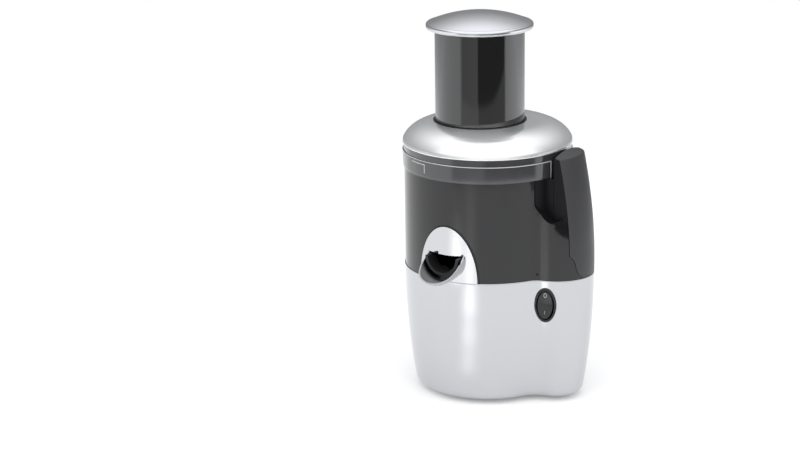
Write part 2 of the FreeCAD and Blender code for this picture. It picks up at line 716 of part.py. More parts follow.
def motor_bolts():
    head = disc(BOLT_HEAD_R, LOWER_SHIELD_Z0 - BOLT_HEAD_T, LOWER_SHIELD_Z0, BOLT_RING_R)
    nut = disc(BOLT_HEAD_R, UPPER_SHIELD_Z1, UPPER_SHIELD_Z1 + BOLT_HEAD_T, BOLT_RING_R)
    shank = disc(BOLT_R, LOWER_SHIELD_Z0, UPPER_SHIELD_Z1, BOLT_RING_R)
    return group(round_about(joined([head, shank, nut]), BOLT_COUNT, 180.0 / BOLT_COUNT))


def motor_dampers():
    damper = tube(DAMPER_R, MOTOR_SCREW_R + SLIP, UPPER_SHIELD_Z1, DECK_Z0, DAMPER_RING_R)
    return group(round_about(damper, DAMPER_COUNT))


def motor_screws():
    head = disc(MOTOR_SCREW_HEAD_R, DECK_Z1, DECK_Z1 + MOTOR_SCREW_HEAD_T, DAMPER_RING_R)
    shank = disc(MOTOR_SCREW_R, UPPER_SHIELD_Z0, DECK_Z1, DAMPER_RING_R)
    return group(round_about(joined([head, shank]), DAMPER_COUNT))


def shaft_seal():
    top = BOSS_Z1 - SEAL_DROP
    return tube(BOSS_BORE_R, SHAFT_R + SHAFT_FIT, top - SEAL_H, top)


def run_capacitor():
    can = disc(CAPACITOR_R, PLATE_Z1, PLATE_Z1 + CAPACITOR_H, CAPACITOR_AT)
    top = PLATE_Z1 + CAPACITOR_H
    half = CAPACITOR_PIN_W / 2
    pins = [block(CAPACITOR_AT - half, CAPACITOR_AT + half, y - half, y + half, top, top + CAPACITOR_PIN_H)
            for y in (-CAPACITOR_R / 2, CAPACITOR_R / 2)]
    return joined([can] + pins)


def capacitor_clip():
    low = PLATE_Z1 + CLIP_LIFT
    inner = CAPACITOR_R + SLIP
    band = tube(inner + CLIP_T, inner, low, low + CLIP_H, CAPACITOR_AT)
    x_in = CAPACITOR_AT - inner - CLIP_LEG_SET - CLIP_T
    half = CLIP_LEG_W / 2
    leg = block(x_in, x_in + CLIP_T, -half, half, PLATE_Z1, low + CLIP_H)
    foot = block(x_in - CLIP_FOOT_L, x_in + CLIP_T, -half, half, PLATE_Z1, PLATE_Z1 + CLIP_T)
    return joined([band, leg, foot])


def terminal_block():
    half_l, half_w = TERMINAL_L / 2, TERMINAL_W / 2
    low = DECK_Z0 - TERMINAL_H
    body = block(TERMINAL_AT - half_w, TERMINAL_AT + half_w, -half_l, half_l, low, DECK_Z0)
    pitch = TERMINAL_L / TERMINAL_SCREW_COUNT
    wells = [disc(TERMINAL_SCREW_R, low, low + TERMINAL_SCREW_DEPTH, TERMINAL_AT, pitch * (i + 0.5) - half_l)
             for i in range(TERMINAL_SCREW_COUNT)]
    return turned(body.cut(wells), TERMINAL_ANGLE)


def interlock_sensor():
    half_l, half_w = SENSOR_L / 2, SENSOR_W / 2
    return block(ROD_AT - half_l, ROD_AT + half_l, -half_w, half_w, DECK_Z0 - SENSOR_H, DECK_Z0)


def cord_gland():
    flange = gland_tube(GLAND_FLANGE_R, GLAND_AT - REACH, GLAND_AT + GLAND_PROUD)
    flange = flange.cut(housing_block(0.0, HOUSING_Z0, BOTTOM_ROUND))
    back = GLAND_AT - HOUSING_WALL - GLAND_PROUD
    stem = gland_tube(GLAND_R, back - GLAND_NUT_T, GLAND_AT + GLAND_PROUD)
    nut = gland_tube(GLAND_NUT_R, back - GLAND_NUT_T, back)
    bore = gland_tube(GLAND_BORE_R, back - REACH, GLAND_AT + REACH)
    return joined([flange, stem, nut]).cut(bore)


def switch_bezel():
    flange = oval(BEZEL_W, BEZEL_H, -COLLAR_DEPTH, BEZEL_PROUD)
    flange = flange.makeFillet(BEZEL_ROUND, [e for e in flange.Edges if e.BoundBox.ZMin > 0])
    flange = on_switch(flange).cut(housing_block(0.0, HOUSING_Z0, BOTTOM_ROUND))
    collar_w, collar_h = BEZEL_W - 2 * COLLAR_EDGE, BEZEL_H - 2 * COLLAR_EDGE
    collar = on_switch(oval(collar_w, collar_h, -COLLAR_DEPTH, BEZEL_PROUD / 2))
    window = oval(ROCKER_W + 2 * ROCKER_ROOM, ROCKER_H + 2 * ROCKER_ROOM, -COLLAR_DEPTH, REACH)
    pin = Part.makeCylinder(PIVOT_R + SHAFT_FIT, BEZEL_W, Vector(-BEZEL_W / 2, 0, -PIVOT_DEPTH), SIDEWAYS)
    pin = on_switch(pin).common(on_switch(oval(BEZEL_W, BEZEL_H, -COLLAR_DEPTH, 0.0)))
    return joined([flange, collar]).cut([on_switch(window), pin])


def switch_rocker():
    rise = (ROCKER_H / 2 + ROCKER_ROOM) * math.tan(math.radians(ROCKER_TILT))
    middle = BEZEL_PROUD - ROCKER_LOW
    end = ROCKER_H / 2 + ROCKER_ROOM
    low = middle - ROCKER_DEPTH
    outline = [(-end, low), (end, low), (end, middle + rise), (0.0, middle), (-end, middle + rise)]
    wedge = face_of(outline, lambda y, z: Vector(-ROCKER_W, y, z)).extrude(SIDEWAYS * (2 * ROCKER_W))
    key = wedge.common(oval(ROCKER_W, ROCKER_H, low, middle + rise + REACH))
    pin_l = BEZEL_W - 2 * COLLAR_EDGE - 2 * RUN_GAP
    pin = Part.makeCylinder(PIVOT_R, pin_l, Vector(-pin_l / 2, 0, -PIVOT_DEPTH), SIDEWAYS)
    rocker = joined([key, pin])
    rocker.rotate(Vector(0, 0, -PIVOT_DEPTH), SIDEWAYS, -ROCKER_TILT)
    return on_switch(rocker)


def switch_body():
    front = -COLLAR_DEPTH
    half_w, half_h = SWITCH_BODY_W / 2, SWITCH_BODY_H / 2
    body = block(-half_w, half_w, -half_h, half_h, front - SWITCH_BODY_L, front)
    back = front - SWITCH_BODY_L
    half_t, half_b = SWITCH_BLADE_T / 2, SWITCH_BLADE_W / 2
    blades = [block(-half_b, half_b, y - half_t, y + half_t, back - SWITCH_BLADE_L, back)
              for y in (-SWITCH_BLADE_PITCH, 0.0, SWITCH_BLADE_PITCH)]
    return on_switch(joined([body] + blades))


# Rotor

def motor_shaft():
    shaft = disc(SHAFT_R, SHAFT_Z0, SHAFT_Z1)
    seat = BASKET_Z0 - BASKET_BOSS_H
    for side in (0, 180):
        flat = block(SHAFT_FLAT, SHAFT_R + REACH, -SHAFT_R, SHAFT_R, seat, SHAFT_Z1)
        shaft = shaft.cut(turned(flat, side))
    return shaft


def rotor_core():
    return tube(ROTOR_R, SHAFT_R + SHAFT_FIT, STATOR_Z0, STATOR_Z1)


def cooling_fan():
    low = SHAFT_Z0 + FAN_LIFT
    hub = disc(FAN_HUB_R, low, low + FAN_H)
    plate = disc(FAN_R, low + FAN_H - FAN_PLATE_T, low + FAN_H)
    blade = block(SHAFT_R, FAN_R, -FAN_BLADE_T / 2, FAN_BLADE_T / 2, low, low + FAN_H)
    fan = joined([hub, plate] + round_about(blade, FAN_BLADE_COUNT))
    return fan.cut(disc(SHAFT_R + SHAFT_FIT, low, low + FAN_H))


def basket_hub():
    plate = disc(BASKET_PLATE_R, BASKET_Z0, BASKET_Z1)
    skirt = tube(BASKET_SKIRT_R, BASKET_SKIRT_R - BASKET_SKIRT_WALL, BASKET_Z0 - BASKET_SKIRT_H, BASKET_Z0)
    seat = BASKET_Z0 - BASKET_BOSS_H
    boss = disc(BASKET_BOSS_R, seat, BASKET_Z0)
    bore = disc(SHAFT_R + SHAFT_FIT, seat, SHAFT_Z1 + SLIP)
    across = SHAFT_FLAT + SHAFT_FIT
    bore = bore.common(block(-across, across, -SHAFT_R * 2, SHAFT_R * 2, seat, SHAFT_Z1 + SLIP))
    return joined([plate, skirt, boss]).cut(bore)


def grater_disc():
    plate = disc(GRATER_R, BASKET_Z1, BASKET_Z1 + GRATER_T)
    teeth = []
    for row in range(TOOTH_ROW_COUNT):
        place = Vector(TOOTH_FIRST_R + row * TOOTH_ROW_STEP, 0, BASKET_Z1 + GRATER_T)
        cone = Part.makeCone(TOOTH_R, 0.0, TOOTH_H, place)
        teeth += round_about(cone, TOOTH_FIRST_COUNT + row * TOOTH_ADDED_COUNT)
    return joined([plate] + teeth)


def filter_basket():
    low_r = BASKET_PLATE_R
    wall = lathe([(low_r - FILTER_T, BASKET_Z1), (low_r, BASKET_Z1), (FILTER_TOP_R, FILTER_Z1),
                  (FILTER_TOP_R - FILTER_T, FILTER_Z1)])
    slots = []
    for row in range(FILTER_ROW_COUNT):
        z = BASKET_Z1 + (FILTER_Z1 - BASKET_Z1) * (row + 1) / (FILTER_ROW_COUNT + 1) - FILTER_SLOT_H / 2
        slot = block(low_r - REACH, FILTER_TOP_R + REACH, -FILTER_SLOT_W / 2, FILTER_SLOT_W / 2,
                     z, z + FILTER_SLOT_H)
        slots += round_about(slot, FILTER_SLOT_COUNT, row * 180.0 / FILTER_SLOT_COUNT)
    return wall.cut(slots)


def basket_rim():
    inner = FILTER_TOP_R - FILTER_T
    return tube(FILTER_TOP_R + FILTER_RIM_W, inner, FILTER_Z1, FILTER_Z1 + FILTER_RIM_H)


# Bowl

def nose_lean(z):
    """How far the front of the nose lies inside its full reach."""
    return LEAN_TOP * (max(z - LEAN_Z, 0.0) / LEAN_H) ** 2


def nose_block(inset):
    """The nose over the full height of the handle, before its flanks are cut."""
    heights = [BOWL_Z0] + levels(LEAN_Z, HANDLE_TOP + HANDLE_WALL, NOSE_SECTION_COUNT)
    wires = []
    for z in heights:
        wires.append(plan_wire(z, BOWL_R - inset, NOSE_AT - nose_lean(z), NOSE_R - inset, WAIST_R + inset))
    return Part.makeLoft(wires, True)


def scoop(side):
    """Finger scoop beside the handle, on one side: round below, open above."""
    top, front = HANDLE_TOP + REACH, NOSE_AT + NOSE_R + REACH
    x, z = NOSE_AT, BOWL_Z0
    points = [(x + SCOOP_SIDE, top), (x + SCOOP_SIDE, z + SCOOP_SIDE_UP),
              ((x + SCOOP_BEND, z + SCOOP_BEND_UP), (x + SCOOP_KNEE, z + SCOOP_KNEE_UP)),
              ((x + SCOOP_HEEL, z + SCOOP_HEEL_UP), (x + SCOOP_LOW, z + SCOOP_UP)),
              ((x + SCOOP_TOE, z + SCOOP_TOE_UP), (x + SCOOP_FRONT, z + SCOOP_FRONT_UP)),
              (front, z + SCOOP_FRONT_UP), (front, top)]
    face = face_of(points, lambda along, up: Vector(along, side * FLANK_Y, up))
    return face.extrude(Vector(0, side * BODY_R, 0)).cut(disc(BOWL_R, BOWL_Z0, top))


def strip(grow, back, top):
    """Prism of the handle's front view: S-curved foot and straight sides, growing outwards by a gap."""
    foot, waist = STRIP_FOOT_Y + grow, STRIP_WAIST_Y + grow
    belly, neck, side = STRIP_BELLY_Y + grow, STRIP_NECK_Y + grow, FLANK_Y + grow
    z = BOWL_Z0
    points = [(-foot, z), (foot, z), ((belly, z + STRIP_BELLY_UP), (waist, z + STRIP_WAIST_UP)),
              ((neck, z + STRIP_NECK_UP), (side, z + STRIP_TOP_UP)), (side, top), (-side, top),
              (-side, z + STRIP_TOP_UP), ((-neck, z + STRIP_NECK_UP), (-waist, z + STRIP_WAIST_UP)),
              ((-belly, z + STRIP_BELLY_UP), (-foot, z))]
    face = face_of(points, lambda y, h: Vector(back, y, h))
    return face.extrude(SIDEWAYS * (NOSE_AT + NOSE_R + REACH - back))


def liner_tube(radius, y_far, y_near):
    """Level cylinder on the axis of the liner."""
    return Part.makeCylinder(radius, y_near - y_far, Vector(0, -y_far, LINER_Z), Vector(0, -1, 0))


def bowl():
    inner, rim_in = BOWL_INNER_R, RIM_R - RIM_WALL
    bore, chimney_top = CHIMNEY_R - CHIMNEY_WALL, FLOOR_Z0 + CHIMNEY_H
    front, neck = NOSE_AT + NOSE_R + REACH, BOWL_Z1 - BOWL_WALL
    body = nose_block(0.0).common(block(-front, front, -BODY_R, BODY_R, BOWL_Z0, BOWL_Z1))
    inside = lathe([(0.0, FLOOR_Z1), (inner, FLOOR_Z1), (inner, neck - BOWL_NECK_H), (rim_in, neck),
                    (rim_in, BOWL_Z1), (0.0, BOWL_Z1)])
    pocket = strip(HANDLE_SEAM, HANDLE_BACK - RUN_GAP, HANDLE_TOP)
    rest = strip(HANDLE_SEAM + BOWL_WALL, HANDLE_BACK - BOWL_WALL - RUN_GAP, HANDLE_TOP)
    hollow = nose_block(BOWL_WALL).cut([disc(BOWL_R, BOWL_Z0, HANDLE_TOP + REACH), rest])
    roof = BOWL_Z0 + SCOOP_UP - BOWL_WALL
    hollow = hollow.common(block(0.0, front, -BODY_R, BODY_R, BOWL_Z0, roof))
    body = body.cut([scoop(-1), scoop(1), inside, disc(inner, BOWL_Z0, FLOOR_Z0), pocket, hollow])
    rim = tube(RIM_R, rim_in, neck, RIM_Z1)
    chimney = disc(CHIMNEY_R, FLOOR_Z0, chimney_top)
    rim_lug = sector(RIM_R - RIM_WALL / 2, RIM_R + RIM_LUG_W, RIM_LUG_Z0, RIM_LUG_Z1, HOOK_ANGLE, HOOK_SPAN)
    foot_lug = sector(BAYONET_R + RUN_GAP, inner + BOWL_WALL / 2, BOWL_Z0, BOWL_LUG_Z1, HOOK_ANGLE, HOOK_SPAN)
    lugs = round_about(rim_lug, HOOK_COUNT) + round_about(foot_lug, HOOK_COUNT)
    outlet = liner_tube(LINER_R + SLIP, inner - REACH, BOWL_R + REACH)
    outlet = outlet.common(block(-BODY_R, BODY_R, -BODY_R - REACH, 0.0, BOWL_Z0, LINER_Z + SLIP))
    return joined([body, rim, chimney] + lugs).cut([disc(bore, FLOOR_Z0, chimney_top), outlet])


def handle():
    lid_side = NOSE_AT + NOSE_R
    lean = math.radians(HANDLE_SLOPE)
    along = Vector(math.cos(lean), 0, -math.sin(lean))
    across = Vector(math.sin(lean), 0, math.cos(lean))
    start = Vector(HANDLE_BACK, 0, HANDLE_TOP) - across * CROWN_R - along * lid_side
    crown = Part.makeCylinder(CROWN_R, 2 * lid_side, start, along)
    solid = nose_block(0.0).common(strip(0.0, HANDLE_BACK, HANDLE_TOP + REACH)).common(crown)
    crest = [e for e in solid.Edges if e.BoundBox.ZMin > LID_Z1 - 2 * LID_PLATE_T]
    solid = solid.makeFillet(HANDLE_EDGE, crest)
    hollow = nose_block(HANDLE_WALL).common(strip(-HANDLE_WALL, HANDLE_BACK, TAB_Z0 - TAB_ROOM - HANDLE_WALL))
    hollow = hollow.common(block(0.0, lid_side, -BODY_R, BODY_R, BOWL_Z0 + HANDLE_WALL, HANDLE_TOP))
    bosses = []
    for y, z in handle_screw_places():
        post = Part.makeCylinder(HANDLE_BOSS_R, lid_side, Vector(HANDLE_BACK + GUIDE_T, y, z), SIDEWAYS)
        hole = Part.makeCylinder(HANDLE_SCREW_R + SLIP, HANDLE_SCREW_L, Vector(HANDLE_BACK, y, z), SIDEWAYS)
        bosses.append(post.common(hollow).cut(hole))
    slot_low, slot_high = TAB_Z0 - TAB_ROOM, TAB_Z1 + TAB_ROOM
    slot = sector(0.0, TAB_REACH + LID_ROOM, slot_low, slot_high, TAB_SWING / 2 - TAB_SPAN, TAB_SWING)
    rod = disc(ROD_R + RUN_GAP, BOWL_Z0, slot_low, ROD_AT)
    return joined([solid.cut(hollow)] + bosses).cut([slot, rod])


def handle_screw_places():
    """Heights and sides of the screws between the rod guide and the handle."""
    heights = (BOWL_Z0 + HANDLE_SCREW_UP, ROD_Z1 - HANDLE_SCREW_DROP)
    return [(y, z) for z in heights for y in (-HANDLE_SCREW_Y, HANDLE_SCREW_Y)]


def rod_guide():
    room = HANDLE_WALL + RUN_GAP
    low, high = BOWL_Z0 + HANDLE_WALL + SLIP, ROD_Z1 - 2 * HANDLE_WALL
    plate = block(HANDLE_BACK, HANDLE_BACK + GUIDE_T, -BODY_R, BODY_R, low, high)
    plate = plate.common(strip(-room, HANDLE_BACK, HANDLE_TOP))
    half = GUIDE_LUG_W / 2
    lugs = [block(HANDLE_BACK, HANDLE_BACK + GUIDE_LUG_L, -half, half, z, z + GUIDE_LUG_T)
            for z in (BOWL_Z0 + GUIDE_LOW, ROD_Z1 - GUIDE_HIGH)]
    tools = [disc(ROD_R + RUN_GAP, BOWL_Z0, HANDLE_TOP, ROD_AT)]
    for y, z in handle_screw_places():
        at = Vector(HANDLE_BACK, y, z)
        tools.append(Part.makeCylinder(HANDLE_SCREW_R + SLIP, GUIDE_T, at, SIDEWAYS))
        tools.append(Part.makeCylinder(HANDLE_SCREW_HEAD_R + SLIP, HANDLE_SCREW_HEAD_T, at, SIDEWAYS))
    return joined([plate] + lugs).cut(tools)


def handle_screws():
    def screw(y, z):
        at = Vector(HANDLE_BACK, y, z)
        head = Part.makeCylinder(HANDLE_SCREW_HEAD_R, HANDLE_SCREW_HEAD_T, at, SIDEWAYS)
        return joined([head, Part.makeCylinder(HANDLE_SCREW_R, HANDLE_SCREW_L - SLIP, at, SIDEWAYS)])
    return group([screw(y, z) for y, z in handle_screw_places()])


def interlock_rod():
    collar = BOWL_Z0 + ROD_COLLAR_LIFT
    rod = disc(ROD_R, ROD_Z0, ROD_Z1, ROD_AT)
    return joined([rod, disc(ROD_COLLAR_R, collar, collar + ROD_COLLAR_T, ROD_AT)])


def coil_arcs(start, start_way, end, end_way):
    """Two arcs that join in a tangent and lead from one point and direction to another."""
    span, ways = end - start, start_way + end_way
    spread = 2 * (1 - start_way.dot(end_way))
    lean = span.dot(ways)
    reach = (math.sqrt(lean ** 2 + spread * span.dot(span)) - lean) / spread
    corners = (start + start_way * reach, end - end_way * reach)
    middle = (corners[0] + corners[1]) * 0.5
    arcs = []
    for near, corner, far in ((start, corners[0], middle), (middle, corners[1], end)):
        centre = (near + far) * 0.5
        angle = math.acos((far - near).Length / 2 / reach)
        crown = centre + (corner - centre) * (math.tan(angle / 2) / math.tan(angle))
        arcs.append(Part.Arc(near, crown, far).toShape())
    return arcs


def rod_spring():
    low = BOWL_Z0 + GUIDE_LOW + GUIDE_LUG_T + RUN_GAP + SPRING_WIRE_R
    high = BOWL_Z0 + ROD_COLLAR_LIFT - RUN_GAP - SPRING_WIRE_R
    rise = (high - low) / (2 * math.pi * SPRING_TURN_COUNT)

    def at(angle):
        return Vector(ROD_AT + SPRING_R * math.cos(angle), SPRING_R * math.sin(angle), low + rise * angle)

    def way(angle):
        return Vector(-SPRING_R * math.sin(angle), SPRING_R * math.cos(angle), rise).normalize()

    edges = []
    for i in range(4 * SPRING_TURN_COUNT):
        a, b = math.pi * i / 2, math.pi * (i + 1) / 2
        edges += coil_arcs(at(a), way(a), at(b), way(b))
    ring = Part.Wire([Part.makeCircle(SPRING_WIRE_R, at(0.0), way(0.0))])
    print("least gap between spring turns", round(2 * math.pi * rise - 2 * SPRING_WIRE_R, 3))
    return Part.Wire(edges).makePipeShell([ring], True, False)


def spout_capsule(radius):
    """Level cylinder with a round end, on the spout's axis."""
    body = Part.makeCylinder(radius, SPOUT_CENTRE_AT, Vector(0, 0, SPOUT_Z), FORWARD)
    return joined([body, Part.makeSphere(radius, Vector(0, -SPOUT_CENTRE_AT, SPOUT_Z))])


def spout():
    inner = BOWL_R + RUN_GAP
    ring = tube(inner + SPOUT_PLATE_T, inner, BOWL_Z0, BOWL_Z0 + SPOUT_PLATE_H)
    tip = Vector(0, 0, BOWL_Z0 + SPOUT_PLATE_H)
    curve = Part.Ellipse(tip, Vector(SPOUT_PLATE_HALF_W, 0, BOWL_Z0), Vector(0, 0, BOWL_Z0))
    arch = Part.Face(Part.Wire([curve.toShape()])).extrude(FORWARD * (BOWL_R + REACH))
    plate = ring.common(arch)
    lip, far = BOWL_Z0 + SPOUT_LIP_UP, inner + 2 * SPOUT_R
    keep = [(inner - REACH, BOWL_Z0 - REACH), (far, BOWL_Z0 - REACH),
            (far, lip - SPOUT_LIP_SLOPE * 2 * SPOUT_R), (inner, lip), (inner - REACH, lip)]
    below = face_of(keep, lambda s, z: Vector(-BODY_R, -s, z)).extrude(SIDEWAYS * (2 * BODY_R))
    beak = spout_capsule(SPOUT_R).common(below).cut(disc(inner, BOWL_Z0 - REACH, BOWL_Z1))
    mouth = spout_capsule(SPOUT_R - SPOUT_WALL).common(below)
    return joined([plate, beak]).cut(mouth)


def spout_liner():
    trough = liner_tube(LINER_R, BOWL_R - LINER_IN, BOWL_R + LINER_OUT)
    trough = trough.cut(liner_tube(LINER_R - LINER_WALL, BOWL_R - LINER_IN, BOWL_R + LINER_OUT))
    low = LINER_Z - 2 * LINER_R
    return trough.common(block(-LINER_R, LINER_R, -BOWL_R - REACH, 0.0, low, LINER_Z))


# Lid

def lid():
    plate = disc(LID_R, LID_PLATE_Z0, LID_Z1)
    skirt = tube(LID_R, LID_INNER_R, LID_Z0, LID_PLATE_Z0)
    band = tube(BAND_R, LID_INNER_R, LID_Z0, LID_Z0 + BAND_H)
    band = band.cut(sector(LID_R, BAND_R + REACH, LID_Z0, LID_Z1, 0.0, BAND_GAP))
    guard = tube(GUARD_R, GUARD_R - GUARD_WALL, LID_PLATE_Z0 - GUARD_H, LID_PLATE_Z0)
    hook = sector(RIM_R + RUN_GAP, LID_R - LID_WALL / 2, LID_Z0, RIM_LUG_Z0 - RUN_GAP, HOOK_ANGLE, HOOK_SPAN)
    tab = sector(LID_R - LID_WALL / 2, TAB_REACH, TAB_Z0, TAB_Z1, 0.0, TAB_SPAN)
    solid = joined([plate, skirt, band, guard, tab] + round_about(hook, HOOK_COUNT))
    return solid.cut(disc(CHUTE_R + SLIP, LID_PLATE_Z0 - GUARD_H, LID_Z1, CHUTE_X))


def lid_seal():
    middle = RIM_R - RIM_WALL / 2
    return tube(middle + LID_SEAL_W / 2, middle - LID_SEAL_W / 2, RIM_Z1 + RUN_GAP, LID_PLATE_Z0)


def dome_block(inset):
    """Low dome: upright edge, quarter-oval shoulder and flat middle."""
    edge_r, edge_z = DOME_R - inset, LID_Z1 + DOME_EDGE_H
    flat_r, top = DOME_R - DOME_SWELL_W, DOME_Z1 - inset
    shoulder = Part.Ellipse(Vector(edge_r, 0, edge_z), Vector(flat_r, 0, top), Vector(flat_r, 0, edge_z))
    corner = [Vector(flat_r, 0, top), Vector(0, 0, top), Vector(0, 0, LID_Z1)]
    corner += [Vector(edge_r, 0, LID_Z1), Vector(edge_r, 0, edge_z)]
    edges = [Part.ArcOfEllipse(shoulder, 0.0, math.pi / 2).toShape()]
    edges += [Part.makeLine(a, b) for a, b in zip(corner, corner[1:])]
    return Part.Face(Part.Wire(Part.__sortEdges__(edges))).revolve(Vector(0, 0, 0), UP, FULL_TURN)


def lid_dome():
    hole = disc(CHUTE_R + CHUTE_SEAL_W + 2 * SLIP, LID_Z1, DOME_Z1 + REACH, CHUTE_X)
    return dome_block(0.0).cut([dome_block(DOME_T), hole])


def feed_chute():
    wall = disc(CHUTE_R, CHUTE_Z0, CHUTE_Z1, CHUTE_X)
    flange = disc(CHUTE_FLANGE_R, LID_Z1, LID_Z1 + CHUTE_FLANGE_T, CHUTE_X)
    return joined([wall, flange]).cut(disc(CHUTE_BORE_R, CHUTE_Z0, CHUTE_Z1, CHUTE_X))


def chute_seal():
    inner = CHUTE_R + SLIP
    high = DOME_Z1 + CHUTE_SEAL_PROUD
    return tube(inner + CHUTE_SEAL_W, inner, high - CHUTE_SEAL_H, high, CHUTE_X)


# Pusher

def pusher_tube():
    low = CHUTE_Z0 - PUSHER_DIP
    inside = disc(PUSHER_R - PUSHER_WALL, low + PUSHER_FLOOR_T, CAP_Z0, CHUTE_X)
    return disc(PUSHER_R, low, CAP_Z0, CHUTE_X).cut(inside)


def pusher_cap():
    spigot = PUSHER_R - PUSHER_WALL - SLIP
    spigot_in, low = spigot - CAP_SPIGOT_WALL, CAP_Z0 - CAP_SPIGOT_H
    shoulder, edge = CAP_Z0 + CAP_RIM_H, CAP_EDGE * (1 - math.sqrt(0.5))
    crown_r, apex = CAP_R - CAP_EDGE, CAP_Z0 + CAP_RIM_H + CAP_CROWN_H
    ball = (crown_r ** 2 + CAP_CROWN_H ** 2) / (2 * CAP_CROWN_H)
    half = crown_r / 2
    mid_z = apex - ball + math.sqrt(ball ** 2 - half ** 2)
    points = [(spigot_in, low), (spigot, low), (spigot, CAP_Z0), (CAP_R - CAP_EDGE, CAP_Z0),
              ((CAP_R - edge, CAP_Z0 + edge), (CAP_R, CAP_Z0 + CAP_EDGE)), (CAP_R, shoulder - CAP_EDGE),
              ((CAP_R - edge, shoulder - edge), (crown_r, shoulder)), ((half, mid_z), (0.0, apex)),
              (0.0, apex - CAP_WALL), ((half, mid_z - CAP_WALL), (crown_r, shoulder - CAP_WALL)),
              (crown_r, CAP_Z0 + CAP_WALL), (spigot_in, CAP_Z0 + CAP_WALL)]
    return lathe(points, CHUTE_X)


PIECES = [base_housing, base_plate, feet, base_plate_screws, deck, motor_stator, stator_windings,
          lower_end_shield, upper_end_shield, lower_bearing, upper_bearing, motor_bolts, motor_dampers,
          motor_screws, shaft_seal, run_capacitor, capacitor_clip, terminal_block, interlock_sensor,
          cord_gland, switch_bezel, switch_rocker, switch_body, motor_shaft, rotor_core, cooling_fan,
          basket_hub, grater_disc, filter_basket, basket_rim, bowl, handle, rod_guide, handle_screws,
          interlock_rod, rod_spring, spout, spout_liner, lid, lid_seal, lid_dome, feed_chute, chute_seal,
          pusher_tube, pusher_cap]


def main():
    """Shape every piece, centre the whole on its footprint and write one file for each piece."""
    shapes = {piece.__name__: piece() for piece in PIECES}
    outer = [shapes[name] for name in ("base_housing", "lid_dome", "spout")]
    box = Part.makeCompound(outer).optimalBoundingBox(False)
    centre_x, centre_y = (box.XMin + box.XMax) / 2, (box.YMin + box.YMax) / 2
    print("shaft axis stands at", round(-centre_x, 4), round(-centre_y, 4))
    os.makedirs("parts", exist_ok=True)
    for name, shape in shapes.items():
        shifted(shape, -centre_x, -centre_y).exportStep("parts/" + name + ".step")


main()
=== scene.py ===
import json
import logging
import math
from dataclasses import dataclass, field
from enum import Enum
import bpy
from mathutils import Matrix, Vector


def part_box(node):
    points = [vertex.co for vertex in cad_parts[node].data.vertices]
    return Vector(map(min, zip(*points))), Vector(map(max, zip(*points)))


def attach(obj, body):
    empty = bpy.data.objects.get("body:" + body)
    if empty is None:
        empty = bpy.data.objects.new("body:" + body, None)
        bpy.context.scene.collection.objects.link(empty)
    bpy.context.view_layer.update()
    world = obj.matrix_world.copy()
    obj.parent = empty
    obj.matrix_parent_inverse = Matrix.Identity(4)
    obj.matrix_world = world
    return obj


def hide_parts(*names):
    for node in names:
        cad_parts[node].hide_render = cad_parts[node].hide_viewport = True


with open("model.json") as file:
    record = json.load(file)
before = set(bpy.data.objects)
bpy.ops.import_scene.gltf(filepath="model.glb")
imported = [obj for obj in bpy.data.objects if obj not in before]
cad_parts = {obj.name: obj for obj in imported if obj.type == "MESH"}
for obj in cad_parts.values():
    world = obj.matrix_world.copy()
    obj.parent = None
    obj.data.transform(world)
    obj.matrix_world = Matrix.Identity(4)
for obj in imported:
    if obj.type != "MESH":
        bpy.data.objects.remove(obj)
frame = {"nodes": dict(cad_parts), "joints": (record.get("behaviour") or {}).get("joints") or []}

from types import MappingProxyType
from typing import Callable, Mapping, Optional, Sequence

import bmesh
import bpy
import numpy as np
from mathutils import Matrix, Vector

# Looks of a centrifugal juicer. Shapes are worked out in millimetres about the motor shaft, with the
# handle towards +X and the spout towards -Y, and are put into the frame in metres.

LOG = logging.getLogger("juicer")
MM = 0.001
UP = np.array([0.0, 0.0, 1.0])
ALONG_X = np.array([1.0, 0.0, 0.0])
FULL_TURN = 360.0
WELD = 2e-6
LEAST_RADIUS = 1e-4
BEAD_SIDES = 8
TURN_STEPS = 240
WHITE = (1.0, 1.0, 1.0)
EVEN = (1.0, 1.0, 1.0)
COOL = np.array([0.99, 1.0, 1.015])
NOTHING: Mapping[object, object] = MappingProxyType({})
Array = np.ndarray
Socket = bpy.types.NodeSocket
Pair = tuple[float, float]
Triple = Colour = tuple[float, float, float]
Stops = Sequence[Pair]


class Body(Enum):
    """Bodies of the frame that the new pieces ride on."""

    BASE = "base"
    SWITCH = "switch"
    BOWL = "bowl"
    LID = "lid"


# Places read from the frame

def shaft_axis() -> Array:
    """Place of the motor shaft in the frame.

    Returns:
        The axis's X and Y, and a zero height, in millimetres.
    """
    low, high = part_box("motor_shaft")
    return np.array([(low.x + high.x) / 2, (low.y + high.y) / 2, 0.0]) / MM


AXIS = shaft_axis()


def low_z(node: str) -> float:
    """Lowest height of a CAD node, in millimetres."""
    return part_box(node)[0].z / MM


def high_z(node: str) -> float:
    """Highest height of a CAD node, in millimetres."""
    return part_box(node)[1].z / MM


def half_width(node: str, axis: int = 1) -> float:
    """Half of a CAD node's width along X (0) or Y (1), in millimetres."""
    low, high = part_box(node)
    return (high[axis] - low[axis]) / 2 / MM


def middle_x(node: str) -> float:
    """Middle of a CAD node along X, from the shaft, in millimetres."""
    low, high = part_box(node)
    return (low.x + high.x) / 2 / MM - AXIS[0]


# Surfaces

